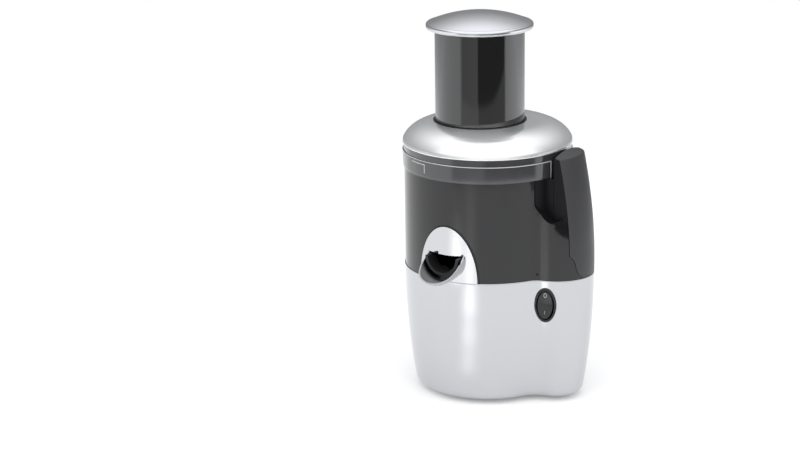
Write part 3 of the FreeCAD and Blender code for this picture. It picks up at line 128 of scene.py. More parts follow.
def rounded(corners: Sequence[Triple], steps: int = 6) -> Array:
    """Closed outline with rounded corners.

    Each corner is cut back along both of its runs by the radius over the tangent of half its angle, and
    an arc of that radius joins the cuts. One more point a quarter radius beyond each end of the arc keeps
    the straight runs flat to the eye.

    Args:
        corners: Each corner's two coordinates and its radius.
        steps: Points on each arc.

    Returns:
        An array of points, one row each.
    """
    table = np.asarray(corners, float)
    point, radius = table[:, :2], np.maximum(table[:, 2:], LEAST_RADIUS)
    back = np.roll(point, 1, axis=0) - point
    ahead = np.roll(point, -1, axis=0) - point
    back /= np.linalg.norm(back, axis=1, keepdims=True)
    ahead /= np.linalg.norm(ahead, axis=1, keepdims=True)
    half = np.arccos(np.clip((back * ahead).sum(axis=1, keepdims=True), -1, 1)) / 2
    bisector = back + ahead
    bisector /= np.linalg.norm(bisector, axis=1, keepdims=True)
    centre = point + bisector * radius / np.sin(half)
    cut = radius / np.tan(half)
    first, last = (point + back * cut - centre) / radius, (point + ahead * cut - centre) / radius
    sweep = (math.pi - 2 * half)[:, None, :]
    share = np.linspace(0, 1, steps)[None, :, None]
    arcs = np.sin((1 - share) * sweep) * first[:, None, :] + np.sin(share * sweep) * last[:, None, :]
    arcs = centre[:, None, :] + radius[:, None, :] * arcs / np.sin(sweep)
    before, after = point + back * (cut + radius / 4), point + ahead * (cut + radius / 4)
    return np.concatenate([before[:, None, :], arcs, after[:, None, :]], axis=1).reshape(-1, 2)


def joined(*parts: object) -> Array:
    """Coordinates put together as points, each one spread to the shape of the others."""
    return np.stack(np.broadcast_arrays(*parts), axis=-1)


def around(count: int) -> Array:
    """Angles of a full turn in radians, as a column."""
    return np.linspace(0, 2 * math.pi, count, endpoint=False)[:, None]


def spun(profile: Array, count: int, x: float = 0.0, start: float = 0.0, sweep: float = FULL_TURN) -> Array:
    """Surface of revolution: each profile point (r, z) is carried to (x + r cos a, r sin a, z).

    Args:
        profile: Points of radius and height.
        count: Steps round the axis.
        x: Place of the axis along X.
        start: First angle in degrees.
        sweep: Turn in degrees, closed at a full turn.

    Returns:
        A grid of points, with a row for each angle.
    """
    angle = np.radians(start + sweep * np.linspace(0, 1, count, endpoint=sweep < FULL_TURN))[:, None]
    radius, z = profile[None, :, 0], profile[None, :, 1]
    return joined(x + radius * np.cos(angle), radius * np.sin(angle), z)


def bead(angle: Array, z: Array, reach: float, radius: float) -> Array:
    """Thin round bead on a cylinder about the shaft.

    The path is (reach cos a, reach sin a, z). At each of its points a circle stands across the path, from
    the outward direction and the cross product of the path's own direction with it.

    Args:
        angle: Angle of each point of the path, in degrees.
        z: Height of each point.
        reach: Radius of the cylinder.
        radius: Radius of the bead.

    Returns:
        A grid of points, with a row for each point of the path.
    """
    turn = np.radians(angle)
    out = joined(np.cos(turn), np.sin(turn), 0.0)
    path = reach * out + joined(0.0, 0.0, z)
    along = np.gradient(path, axis=0)
    along /= np.linalg.norm(along, axis=1, keepdims=True)
    beside = np.cross(along, out)
    share = around(BEAD_SIDES)[None]
    return path[:, None, :] + radius * (np.cos(share) * out[:, None, :] + np.sin(share) * beside[:, None, :])


def quads(rows: int, columns: int, close_rows: bool, close_columns: bool) -> Array:
    """Four-cornered faces of a grid.

    Args:
        rows: Rows of points.
        columns: Points in each row.
        close_rows: Whether the last row joins the first.
        close_columns: Whether the last column joins the first.

    Returns:
        The numbers of each face's four points, one row each.
    """
    i, j = np.arange(rows - (not close_rows))[:, None], np.arange(columns - (not close_columns))
    here, below, beside = i * columns, (i + 1) % rows * columns, (j + 1) % columns
    return joined(here + j, here + beside, below + beside, below + j).reshape(-1, 4)


@dataclass
class Hole:
    """Oval hole through a wall, along an axis.

    Attributes:
        centre: Middle of the hole.
        across: Direction of the first half width.
        up: Direction of the second half width.
        half_across: First half width.
        half_up: Second half width.
        depth: How far the hole reaches along its axis, each way.
    """

    centre: Array
    across: Array
    up: Array
    half_across: float
    half_up: float
    depth: float = 12.0

    def holds(self, points: Array) -> Array:
        """Tells which points are in the hole: a squared plus b squared is below 1, within its depth.

        Args:
            points: Points, one row each.

        Returns:
            True for each point inside.
        """
        offset = points - self.centre
        a, b = offset @ self.across / self.half_across, offset @ self.up / self.half_up
        along = offset @ np.cross(self.across, self.up)
        return (a ** 2 + b ** 2 < 1) & (np.abs(along) < self.depth)


@dataclass
class Piece:
    """A mesh on its way into the scene.

    Attributes:
        name: Name of the object.
        body: Body that it rides on.
        finish: Finish that it takes.
        replaces: CAD nodes that it stands for.
        sharp: Angle between faces, in degrees, past which an edge stays crisp.
    """

    name: str
    body: Body
    finish: "Finish"
    replaces: Sequence[str] = ()
    sharp: float = 40.0

    def build(self, grid: Array, close_rows: bool = True, close_columns: bool = True,
              holes: Sequence[Hole] = ()) -> bpy.types.Object:
        """Makes the object from a grid of points about the shaft, in millimetres.

        Args:
            grid: Points in rows and columns.
            close_rows: Whether the last row joins the first.
            close_columns: Whether the last column joins the first.
            holes: Ovals whose faces are left out, with a wall between the two rims.

        Returns:
            The finished object, on its body and with its finish.
        """
        points, faces = grid.reshape(-1, 3), quads(*grid.shape[:2], close_rows, close_columns)
        for hole in holes:
            faces = faces[~hole.holds(points[faces].mean(axis=1))]
        mesh = bpy.data.meshes.new(self.name)
        mesh.vertices.add(len(points))
        mesh.vertices.foreach_set("co", ((points + AXIS) * MM).astype(np.float32).ravel())
        mesh.loops.add(faces.size)
        mesh.loops.foreach_set("vertex_index", faces.astype(np.int32).ravel())
        mesh.polygons.add(len(faces))
        mesh.polygons.foreach_set("loop_start", np.arange(0, faces.size, 4, dtype=np.int32))
        mesh.update(calc_edges=True)
        work = bmesh.new()
        work.from_mesh(mesh)
        bmesh.ops.remove_doubles(work, verts=work.verts, dist=WELD)
        bmesh.ops.dissolve_degenerate(work, edges=work.edges, dist=WELD / 2)
        for hole in holes:
            middle = Vector((hole.centre + AXIS) * MM)
            reach = 2 * max(hole.half_across, hole.half_up) * MM
            rim = [e for e in work.edges if e.is_boundary and (e.verts[0].co - middle).length < reach]
            bmesh.ops.bridge_loops(work, edges=rim)
        bmesh.ops.recalc_face_normals(work, faces=work.faces)
        work.to_mesh(mesh)
        work.free()
        mesh.shade_smooth()
        mesh.set_sharp_from_angle(angle=math.radians(self.sharp))
        made = bpy.data.objects.new(self.name, mesh)
        bpy.context.scene.collection.objects.link(made)
        mesh.materials.append(self.finish.material())
        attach(made, self.body.value)
        if self.replaces:
            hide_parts(*self.replaces)
        LOG.info("%s: %d faces on %s", self.name, len(mesh.polygons), self.body.value)
        return made

    def sweep(self, grid: Array) -> bpy.types.Object:
        """Makes a swept shape, whose first and last rows are closed to their middles."""
        ends = [np.broadcast_to(row.mean(axis=1, keepdims=True), row.shape) for row in (grid[:1], grid[-1:])]
        return self.build(np.concatenate([ends[0], grid, ends[1]]), close_rows=False)


# Finishes

class Tree:
    """Short forms for building a node tree."""

    def __init__(self, tree: bpy.types.NodeTree) -> None:
        """Keeps the tree and clears it."""
        self.tree = tree
        tree.nodes.clear()

    def add(self, kind: str, feeds: Mapping[object, object] = NOTHING, **settings: object) -> bpy.types.Node:
        """Adds a node.

        Args:
            kind: Type of the node.
            feeds: A socket or a plain value for each input, by name or number.
            settings: Properties of the node.

        Returns:
            The new node.
        """
        node = self.tree.nodes.new(kind)
        for key, value in settings.items():
            setattr(node, key, value)
        for slot, value in feeds.items():
            if isinstance(value, Socket):
                self.tree.links.new(value, node.inputs[slot])
            else:
                node.inputs[slot].default_value = value
        return node

    def math(self, operation: str, *values: object) -> Socket:
        """Adds a Math node for sockets or numbers and returns its output."""
        return self.add("ShaderNodeMath", dict(enumerate(values)), operation=operation).outputs[0]

    def mix(self, factor: object, first: object, second: object, blend: str = "MIX") -> Socket:
        """Adds a Mix node for colours and returns its colour."""
        feeds = {"Factor": factor, "A": first, "B": second}
        return self.add("ShaderNodeMix", feeds, data_type="RGBA", blend_type=blend).outputs["Result"]

    def effect(self, kind: "Effect", **values: object) -> Socket:
        """Places a shared effect with the given inputs and returns its output."""
        return self.add("ShaderNodeGroup", values, node_tree=bpy.data.node_groups[kind.value]).outputs[0]

    def seen(self, where: object = 1.0) -> Socket:
        """Tells what the eye sees from what only lights.

        Args:
            where: Mask that is 1 where metal and glass show it too.

        Returns:
            1 for camera rays and, by the mask, for rays off metal and through glass. Else 0.
        """
        ray = self.add("ShaderNodeLightPath")
        mirrored = self.math("MAXIMUM", ray.outputs["Is Glossy Ray"], ray.outputs["Is Transmission Ray"])
        return self.math("MAXIMUM", ray.outputs["Is Camera Ray"], self.math("MULTIPLY", mirrored, where))

    def ramp(self, share: Socket, stops: Stops) -> Socket:
        """Adds a ramp of cool grey levels and returns its colour.

        Args:
            share: Place on the ramp, from 0 to 1.
            stops: Place and level of each stop.

        Returns:
            The ramp's colour output.
        """
        node = self.add("ShaderNodeValToRGB", {"Fac": share})
        elements = node.color_ramp.elements
        elements[1].position, elements[0].position = stops[-1][0], stops[0][0]
        for spot, _ in stops[1:-1]:
            elements.new(spot)
        for element, (_, level) in zip(elements, stops):
            element.color = (*(level * COOL), 1.0)
        return node.outputs["Color"]


class Effect(Enum):
    """Shared surface effects, each one a node group."""

    DRIFT = "tone_drift"
    SMUDGE = "handling_smudge"
    GRAIN = "moulded_grain"
    BRUSH = "brushed_lines"


def new_group(effect: Effect, inputs: Sequence[str], output: str) -> tuple[Tree, bpy.types.NodeOutputs]:
    """Starts a shader node group.

    Args:
        effect: Effect that the group makes.
        inputs: Names of its inputs. One called Color is a colour, the others are numbers.
        output: Name of its output, by the same rule.

    Returns:
        The group's tree, and what its input node gives.
    """
    group = bpy.data.node_groups.new(effect.value, "ShaderNodeTree")
    for name, way in [(name, "INPUT") for name in inputs] + [(output, "OUTPUT")]:
        kind = "NodeSocketColor" if name == "Color" else "NodeSocketFloat"
        group.interface.new_socket(name=name, in_out=way, socket_type=kind)
    tree = Tree(group)
    return tree, tree.add("NodeGroupInput").outputs


def object_noise(tree: Tree, scale: Socket, detail: float, stretch: Triple = EVEN) -> Socket:
    """Noise on Object coordinates.

    Args:
        tree: Tree that it goes into.
        scale: Scale of the noise for each metre.
        detail: Finer layers of the noise.
        stretch: Factor along each axis.

    Returns:
        The noise, from 0 to 1.
    """
    place = tree.add("ShaderNodeTexCoord").outputs["Object"]
    mapping = tree.add("ShaderNodeMapping", {"Vector": place, "Scale": stretch})
    feeds = {"Vector": mapping.outputs["Vector"], "Scale": scale, "Detail": detail}
    return tree.add("ShaderNodeTexNoise", feeds).outputs["Fac"]


def build_drift() -> None:
    """Slow lightening and darkening of a colour: colour times (1 + amount times centred noise)."""
    detail, middle = 3.0, 0.5
    tree, given = new_group(Effect.DRIFT, ("Color", "Scale", "Amount"), "Color")
    noise = object_noise(tree, given["Scale"], detail)
    level = tree.math("MULTIPLY", tree.math("SUBTRACT", noise, middle), given["Amount"])
    feeds = {0: given["Color"], "Scale": tree.math("ADD", level, 1.0)}
    scaled = tree.add("ShaderNodeVectorMath", feeds, operation="SCALE")
    tree.add("NodeGroupOutput", {"Color": scaled.outputs[0]})


def build_smudge() -> None:
    """Faint handling marks: roughness plus amount times the upper half of a blotchy noise."""
    detail, floor, gain = 6.0, 0.45, 3.0
    tree, given = new_group(Effect.SMUDGE, ("Roughness", "Scale", "Amount"), "Roughness")
    noise = object_noise(tree, given["Scale"], detail)
    mask = tree.math("MULTIPLY", tree.math("MAXIMUM", tree.math("SUBTRACT", noise, floor), 0.0), gain)
    added = tree.math("MULTIPLY", mask, given["Amount"])
    tree.add("NodeGroupOutput", {"Roughness": tree.math("ADD", given["Roughness"], added)})


def build_relief(effect: Effect, detail: float, stretch: Triple) -> None:
    """Fine grain or brushed lines: noise of the given scale, stretched along the axes, as a height."""
    tree, given = new_group(effect, ("Scale",), "Height")
    tree.add("NodeGroupOutput", {"Height": object_noise(tree, given["Scale"], detail, stretch)})


def build_effects() -> None:
    """Makes the shared effects."""
    build_drift()
    build_smudge()
    build_relief(Effect.GRAIN, detail=2.0, stretch=EVEN)
    build_relief(Effect.BRUSH, detail=4.0, stretch=(1.0, 1.0, 0.04))


MADE: dict["Finish", bpy.types.Material] = {}
COAT_ROUGHNESS = 0.03
DRIFT_SCALE = 14.0
SMUDGE_SCALE = 32.0


@dataclass(frozen=True)
class Finish:
    """A surface finish.

    Attributes:
        slot: Material slot of the record.
        colour: Base colour, linear.
        roughness: Plain roughness.
        metallic: 1 for bare metal.
        coat: Weight of a clear gloss coat.
        transmission: Share of light that passes through.
        ior: Index of refraction.
        drift: Share by which the colour varies.
        smudge: Roughness that handling marks add.
        grain: Scale of the moulded grain for each metre, or none.
        brush: Scale of brushed lines for each metre, or none.
        relief: Depth of grain or brushing, in metres.
        fade: Places along Y, in metres, where a duller end starts and is full, and its added roughness.
        tag: Ending that sets apart two finishes of one slot.
    """

    slot: str
    colour: Colour
    roughness: float
    metallic: float = 0.0
    coat: float = 0.0
    transmission: float = 0.0
    ior: float = 1.5
    drift: float = 0.06
    smudge: float = 0.0
    grain: Optional[float] = None
    brush: Optional[float] = None
    relief: float = 0.00002
    fade: Optional[Triple] = None
    tag: str = ""

    def material(self) -> bpy.types.Material:
        """The finish as a material, made once.

        Returns:
            A node material with the effects that this finish asks for.
        """
        if self in MADE:
            return MADE[self]
        made = MADE[self] = bpy.data.materials.new(self.slot + self.tag)
        made.use_nodes = True
        tree = Tree(made.node_tree)
        tone = tree.effect(Effect.DRIFT, Color=(*self.colour, 1.0), Scale=DRIFT_SCALE, Amount=self.drift)
        rough = tree.effect(Effect.SMUDGE, Roughness=self.roughness, Scale=SMUDGE_SCALE, Amount=self.smudge)
        if self.fade:
            place = tree.add("ShaderNodeTexCoord").outputs["Object"]
            along_y = tree.add("ShaderNodeSeparateXYZ", {0: place}).outputs["Y"]
            feeds = dict(zip(("Value", "From Min", "From Max", "To Max"), (along_y, *self.fade)))
            span = tree.add("ShaderNodeMapRange", feeds, interpolation_type="SMOOTHSTEP")
            rough = tree.math("ADD", rough, span.outputs["Result"])
        feeds = {"Base Color": tone, "Roughness": rough, "Metallic": self.metallic, "IOR": self.ior,
                 "Coat Weight": self.coat, "Coat Roughness": COAT_ROUGHNESS,
                 "Transmission Weight": self.transmission}
        if self.grain or self.brush:
            kind = Effect.GRAIN if self.grain else Effect.BRUSH
            height = tree.effect(kind, Scale=self.grain or self.brush)
            bump = tree.add("ShaderNodeBump", {"Distance": self.relief, "Height": height})
            feeds["Normal"] = bump.outputs["Normal"]
        shader = tree.add("ShaderNodeBsdfPrincipled", feeds)
        tree.add("ShaderNodeOutputMaterial", {"Surface": shader.outputs["BSDF"]})
        return made


CHROME = Finish("chrome_shell", (0.54, 0.546, 0.566), 0.06, metallic=1.0, drift=0.02, smudge=0.04)
SILVER = Finish("polished_silver", (0.77, 0.785, 0.81), 0.18, metallic=1.0, drift=0.02, smudge=0.05)
# Darker copy of the cap's silver for its downward faces: painted shade under the rim.
CAP_PAINTED_SHADE = Finish("polished_silver", (0.55, 0.555, 0.57), 0.2, metallic=1.0, drift=0.02, tag="_under")
PAINT = Finish("polished_silver", (0.88, 0.885, 0.89), 0.2, metallic=0.75, drift=0.02, smudge=0.05,
               tag="_paint")
SPOUT = Finish("chrome_shell", (0.56, 0.565, 0.575), 0.08, metallic=1.0, drift=0.02, smudge=0.04,
               fade=(-0.076, -0.09, 0.5), tag="_spout")
SMOKE_CHUTE = Finish("smoke_chute", (0.06, 0.06, 0.066), 0.03, transmission=1.0, coat=0.6, ior=1.76,
                     drift=0.02)
SMOKE_BOWL = Finish("smoke_bowl", (0.004, 0.004, 0.005), 0.07, coat=0.2, smudge=0.05)
# Near-black matte: painted shade in the finger scoops, and the setting mark's own black.
SCOOP_SHADE_AND_MARK = Finish("smoke_bowl", (0.007, 0.007, 0.008), 0.4, ior=1.25, tag="_scoop")
GREY_LID = Finish("grey_lid", (0.042, 0.042, 0.045), 0.07, coat=0.8, ior=1.55, smudge=0.04)
# Light grey for thin beads on the band's edges and the lug's outline: painted glints.
LID_GLINT = Finish("grey_lid", (0.60, 0.60, 0.61), 0.2, coat=0.5, tag="_edge")
SATIN = Finish("satin_handle", (0.036, 0.036, 0.040), 0.36, grain=2600.0, relief=0.00003, smudge=0.08)
# Near-black matte for the handle's sides: painted shade that stands in for their dark reflections.
FLANK_SHADE = Finish("satin_handle", (0.007, 0.007, 0.008), 0.45, ior=1.25, tag="_flank")
BLACK = Finish("black_plastic", (0.012, 0.012, 0.013), 0.42, grain=2200.0, relief=0.00003)
GLOSS_BLACK = Finish("switch_gloss", (0.008, 0.008, 0.009), 0.14, coat=0.1, smudge=0.08)
MARK = Finish("grey_plastic", (0.55, 0.55, 0.56), 0.4, tag="_mark")
RUBBER = Finish("rubber", (0.012, 0.012, 0.012), 0.6, grain=1800.0, relief=0.00004)
STAINLESS = Finish("stainless", (0.56, 0.56, 0.57), 0.24, metallic=1.0, brush=900.0)
STEEL = Finish("steel", (0.50, 0.50, 0.52), 0.26, metallic=1.0, brush=700.0)
IRON = Finish("iron_core", (0.16, 0.16, 0.17), 0.5, metallic=1.0, brush=900.0, relief=0.00006)
COPPER = Finish("copper", (0.62, 0.26, 0.10), 0.3, metallic=1.0, drift=0.3, brush=1200.0, relief=0.0001)
CAST = Finish("cast_aluminium", (0.55, 0.56, 0.57), 0.46, metallic=1.0, grain=700.0, relief=0.00012)
GREY = Finish("grey_plastic", (0.42, 0.42, 0.43), 0.45, grain=1800.0, relief=0.00003)
WHITE_CAN = Finish("white_can", (0.72, 0.72, 0.70), 0.4, grain=1200.0)
DARK_CORE = Finish("smoke_chute", (0.006, 0.006, 0.007), 0.06, coat=0.8, tag="_core")


def dress(finish: Finish, *nodes: str) -> None:
    """Gives CAD nodes a finish.

    Args:
        finish: Finish to put on.
        nodes: Names of the nodes.
    """
    for name in nodes:
        mesh = frame["nodes"][name].data
        mesh.materials.clear()
        mesh.materials.append(finish.material())
        LOG.info("%s: %s", name, finish.slot + finish.tag)


def dress_faces(finish: Finish, name: str, rule: Callable[[Array, Array], Array]) -> None:
    """Gives some faces of a CAD node another finish.

    Args:
        finish: Finish to put on.
        name: Name of the node.
        rule: Picks the faces from their middles, about the shaft in millimetres, and their normals.
    """
    mesh = frame["nodes"][name].data
    middle, normal = np.empty((2, 3 * len(mesh.polygons)))
    mesh.polygons.foreach_get("center", middle)
    mesh.polygons.foreach_get("normal", normal)
    chosen = rule(middle.reshape(-1, 3) / MM - AXIS, normal.reshape(-1, 3))
    mesh.materials.append(finish.material())
    mesh.polygons.foreach_set("material_index", chosen.astype(np.int32))
    LOG.info("%s: %s on %d faces", name, finish.slot + finish.tag, chosen.sum())


# Sub-assemblies

@dataclass(frozen=True)
class BodyPlan:
    """Outline of the body from above: a main circle, a nose, and a hollow waist each side that touches both.

    Attributes:
        main_r: Radius of the main circle.
        nose_at: Place of the nose's middle.
        nose_r: Radius of the nose.
        waist_r: Radius of the hollow waists.
        step: Distance between points round the outline.
        fewest: Fewest points on an arc.
    """

    main_r: float
    nose_at: float = 82.4
    nose_r: float = 40.5
    waist_r: float = 20.0
    step: float = 1.2
    fewest: int = 8

    def waist(self) -> Pair:
        """Middle of the waist on the +Y side, at the sums of the radii from both circles.

        Returns:
            Its X and Y.
        """
        span = self.main_r + self.waist_r
        x = (span ** 2 - (self.nose_r + self.waist_r) ** 2 + self.nose_at ** 2) / (2 * self.nose_at)
        return x, math.sqrt(span ** 2 - x ** 2)

    def columns(self) -> tuple[Array, Array, Array, Array]:
        """Points round the outline, as arcs.

        Returns:
            Each point's arc centre, direction from it, radius, and 1 on a bulge or -1 in a hollow.
        """
        x, y = self.waist()
        to_nose, to_main = math.atan2(y, x - self.nose_at), math.atan2(y, x)
        arcs = [(self.nose_at, 0.0, self.nose_r, -to_nose, to_nose, 1.0),
                (x, y, self.waist_r, to_nose - math.pi, to_main - math.pi, -1.0),
                (0.0, 0.0, self.main_r, to_main, 2 * math.pi - to_main, 1.0),
                (x, -y, self.waist_r, math.pi - to_main, math.pi - to_nose, -1.0)]
        centre, way, radius, sense = [], [], [], []
        for cx, cy, r, first, last, side in arcs:
            count = max(self.fewest, round(r * abs(last - first) / self.step))
            angle = np.linspace(first, last, count, endpoint=False)
            way.append(joined(np.cos(angle), np.sin(angle)))
            centre.append(np.broadcast_to([cx, cy], (count, 2)))
            radius.append(np.full(count, r))
            sense.append(np.full(count, side))
        return tuple(np.concatenate(part) for part in (centre, way, radius, sense))

    def wall(self, inset: Array, z: Array) -> Array:
        """Wall round the outline: arc centre plus (radius less or plus the inset) times direction.

        Args:
            inset: Distance inside the outline for each level.
            z: Height of each level.

        Returns:
            A grid of points, with a row for each place round the outline.
        """
        centre, way, radius, sense = self.columns()
        reach = radius[:, None] - sense[:, None] * inset[None, :]
        flat = centre[:, None, :] + reach[..., None] * way[:, None, :]
        return joined(flat[..., 0], flat[..., 1], z)


@dataclass
class PowerSwitch:
    """Oval rocker switch on the right-hand waist.

    Attributes:
        bezel: Half width and half height of the frame.
        window: Half width and half height of its window.
        rocker: Half width and half height of the rocker.
        proud: Height of the frame's crown above the wall.
        crown: Drop of the frame's outer corner below the crown, and the radii of its outer and inner corner.
        sunk: Depth of the frame's foot below the wall.
        depth: Depth of the pivot below the wall.
        tilt: Slope of each half of the rocker, in degrees.
        soft: Half height of the soft bend between them.
        dish: Rise of the rocker's face at its sides.
        low: Middle of the rocker below the crown.
        edge: Radius of the rocker's rim.
        thickness: Depth of the rocker.
        steps: Points round the frame and the rocker.
        rings: Rings on the rocker's face, and on its rim with the face's last one.
        mark_steps: Points round a mark.
        marks: Name, place on the rocker's half height, half width and half height of each mark.
        line: Half width of a mark's line, its height above the face and its depth below it.
    """

    bezel: Pair = (11.7, 18.7)
    window: Pair = (9.4, 15.7)
    rocker: Pair = (8.2, 14.5)
    proud: float = 2.4
    crown: Triple = (0.5, 1.0, 0.45)
    sunk: float = 6.0
    depth: float = 3.0
    tilt: float = 8.0
    soft: float = 4.0
    dish: float = 0.5
    low: float = 0.2
    edge: float = 0.9
    thickness: float = 8.0
    steps: int = 96
    rings: tuple[int, int] = (14, 6)
    mark_steps: int = 40
    marks: Sequence[tuple[str, float, float, float]] = (("mark_oval", 0.7, 1.45, 2.2),
                                                        ("mark_bar", -0.56, 0.02, 1.7))
    line: Triple = (0.22, 0.06, 0.3)
    across: Array = field(init=False)
    out: Array = field(init=False)
    centre: Array = field(init=False)

    def __post_init__(self) -> None:
        """Reads the switch's place from its joint."""
        joint = next(j for j in frame["joints"] if j["name"] == "switch_rock")
        self.across = np.array(joint["axis"])
        self.out = np.cross(self.across, UP)
        self.centre = np.array(joint["pos_m"]) / MM - AXIS + self.depth * self.out

    def placed(self, local: Array) -> Array:
        """Points from the switch's own axes (across, up, out) to their place."""
        return self.centre + local @ np.stack([self.across, UP, self.out])

    def hole(self) -> Hole:
        """Hole in the housing, under the frame of the switch."""
        sizes = [(w + b) / 2 for w, b in zip(self.window, self.bezel)]
        return Hole(self.centre, self.across, UP, *sizes)

    def face(self, x: Array, y: Array) -> Array:
        """Height of the rocker's face: a V along y with a soft middle, and a dish across x.

        The V is the slope times ((y squared + s squared) to the half, less s). The dish goes by x squared.

        Args:
            x: Place across the rocker.
            y: Place along it, from its middle.

        Returns:
            The height above the wall.
        """
        bend = np.sqrt(y ** 2 + self.soft ** 2) - self.soft
        slope = math.tan(math.radians(self.tilt))
        return self.proud - self.low + slope * bend + self.dish * (x / self.rocker[0]) ** 2

    def tipped(self, x: Array, y: Array, z: Array) -> Array:
        """Turns the rocker's points about its pivot, to rest with the upper half pressed.

        Args:
            x: Place across the rocker.
            y: Place along it, from its middle.
            z: Height above the wall.

        Returns:
            The points in place.
        """
        turn = math.radians(-self.tilt)
        z = z + self.depth
        return self.placed(joined(x, y * math.cos(turn) - z * math.sin(turn),
                                  y * math.sin(turn) + z * math.cos(turn) - self.depth))

    def build_bezel(self) -> None:
        """Frame: a rounded section carried round the oval between its window and its outer edge."""
        angle = around(self.steps)
        drop, outer, inner = self.crown
        section = rounded([(0.0, -self.sunk, 0.0), (1.0, -self.sunk, 0.0), (1.0, self.proud - drop, outer),
                           (0.0, self.proud, inner)])
        share, z = section[None, :, 0], section[None, :, 1]
        wide, tall = [w + (b - w) * share for w, b in zip(self.window, self.bezel)]
        local = joined(wide * np.cos(angle), tall * np.sin(angle), z)
        Piece("switch_frame", Body.BASE, GLOSS_BLACK, ["switch_bezel"]).build(self.placed(local))

    def build_rocker(self) -> None:
        """Rocker: rings from the middle of the face to its rounded rim, and down to the middle below."""
        rim = self.edge / self.rocker[0]
        ring = np.linspace(0, 1, self.rings[0])
        bend = np.radians(np.linspace(0, 90, self.rings[1]))[1:]
        share = np.concatenate([ring * (1 - rim), 1 - rim * (1 - np.sin(bend)), [1.0, 0.0]])
        drop = np.concatenate([0 * ring, self.edge * (1 - np.cos(bend)), [self.thickness, self.thickness]])
        angle = around(self.steps)
        x = self.rocker[0] * share[None, :] * np.cos(angle)
        y = self.rocker[1] * share[None, :] * np.sin(angle)
        z = self.face(x, y) - drop[None, :]
        z = np.where(drop[None, :] < self.thickness, z, self.proud - self.thickness)
        piece = Piece("rocker_key", Body.SWITCH, GLOSS_BLACK, ["switch_rocker"])
        piece.build(self.tipped(x, y, z), close_columns=False)

    def build_marks(self) -> None:
        """Printed oval and bar: thin closed bands that follow the face of the rocker."""
        angle = around(self.mark_steps)
        line, lift, sunk = self.line
        section = np.array([(line, lift), (line, -sunk), (-line, -sunk), (-line, lift)])
        for name, at, wide, tall in self.marks:
            x = (wide + section[None, :, 0]) * np.cos(angle)
            y = at * self.rocker[1] + (tall + section[None, :, 0]) * np.sin(angle)
            z = self.face(x, y) + section[None, :, 1]
            Piece(name, Body.SWITCH, MARK).build(self.tipped(x, y, z))

    def build(self) -> None:
        """Makes the frame, the rocker and its marks."""
        self.build_bezel()
        self.build_rocker()
        self.build_marks()
        dress(BLACK, "switch_body")


@dataclass
class MotorBase:
    """Chrome housing of the motor, with its bottom cover and feet.

    Attributes:
        bow: Radius of the side's outward bow, upright at the top edge.
        foot_round: Radius of the rounded lower edge.
        wall: Thickness of the shell.
        lip: Radius of the rounded top edge.
        opening: Distance from the foot of the rounded edge to the opening for the bottom cover.
        gland_hole: Radius of the hole under the gland's flange.
        gland_set: Middle of that hole inside the main radius.
        steps: Points on the lower edge, up the side and on the outer half of the top edge.
    """

    switch: PowerSwitch
    bow: float = 762.0
    foot_round: float = 9.0
    wall: float = 2.5
    lip: float = 0.7
    opening: float = 5.6
    gland_hole: float = 6.2
    gland_set: float = 8.0
    steps: tuple[int, int, int] = (14, 90, 5)
    plan: BodyPlan = field(init=False)

    def __post_init__(self) -> None:
        """Takes the main radius from the housing's box."""
        self.plan = BodyPlan(AXIS[0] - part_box("base_housing")[0].x / MM)

    def inset(self, z: Array) -> Array:
        """Distance of the side inside the top edge: drop squared over twice the bow."""
        drop = high_z("base_housing") - z
        return drop ** 2 / (2 * self.bow)

    def profile(self) -> Array:
        """Section of the shell from the bottom opening, up the outside, over the lip and down the inside.

        Returns:
            Points of inset and height.
        """
        low, high = low_z("base_housing"), high_z("base_housing")
        slope = math.atan((high - low) / self.bow)
        z_side = low + self.foot_round * (1 - math.sin(slope))
        middle = float(self.inset(z_side)) + self.foot_round * math.cos(slope)
        bend = np.linspace(-math.pi / 2, -slope, self.steps[0])
        side = np.linspace(z_side, high - self.lip, self.steps[1])[1:]
        over = np.linspace(0, math.pi / 2, self.steps[2])[1:]
        inner = self.inset(side[::-1]) + self.wall
        edge = middle + self.opening
        foot = middle - self.foot_round * np.cos(bend), low + self.foot_round * (1 + np.sin(bend))
        lip = self.lip - self.lip * np.cos(over), high - self.lip + self.lip * np.sin(over)
        runs = [([edge], [low]), foot, (self.inset(side), side), lip,
                ([self.wall, self.wall], [high, high - self.lip]), (inner, side[::-1]),
                ([middle, edge], [low + self.wall, low + self.wall])]
        return np.concatenate([joined(*run) for run in runs])

    def build(self) -> None:
        """Makes the shell: its section carried round the body's outline, with two holes."""
        low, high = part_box("cord_gland")
        gland = np.array([0.0, self.plan.main_r - self.gland_set, (low.z + high.z) / 2 / MM])
        holes = [self.switch.hole(), Hole(gland, ALONG_X, UP, self.gland_hole, self.gland_hole)]
        piece = Piece("chrome_housing", Body.BASE, CHROME, ["base_housing"])
        piece.build(self.plan.wall(*self.profile().T), holes=holes)
        dress(BLACK, "base_plate", "cord_gland", "deck")
        dress(RUBBER, "feet")
        dress(STEEL, "base_plate_screws")


@dataclass
class MotorWorks:
    """Motor, electrical pieces and shaft inside the base."""

    def build(self) -> None:
        """Gives the inner pieces their finishes."""
        dress(IRON, "motor_stator", "rotor_core")
        dress(COPPER, "stator_windings")
        dress(CAST, "lower_end_shield", "upper_end_shield")
        dress(STEEL, "lower_bearing", "upper_bearing", "motor_bolts", "motor_screws", "motor_shaft",
              "capacitor_clip")
        dress(RUBBER, "motor_dampers", "shaft_seal")
        dress(WHITE_CAN, "run_capacitor")
        dress(GREY, "terminal_block", "cooling_fan")
        dress(BLACK, "interlock_sensor")


@dataclass
class SpinBasket:
    """Grater and filter that spin on the shaft."""

    def build(self) -> None:
        """Gives the basket its finishes."""
        dress(STAINLESS, "grater_disc", "filter_basket")
        dress(GREY, "basket_hub", "basket_rim")


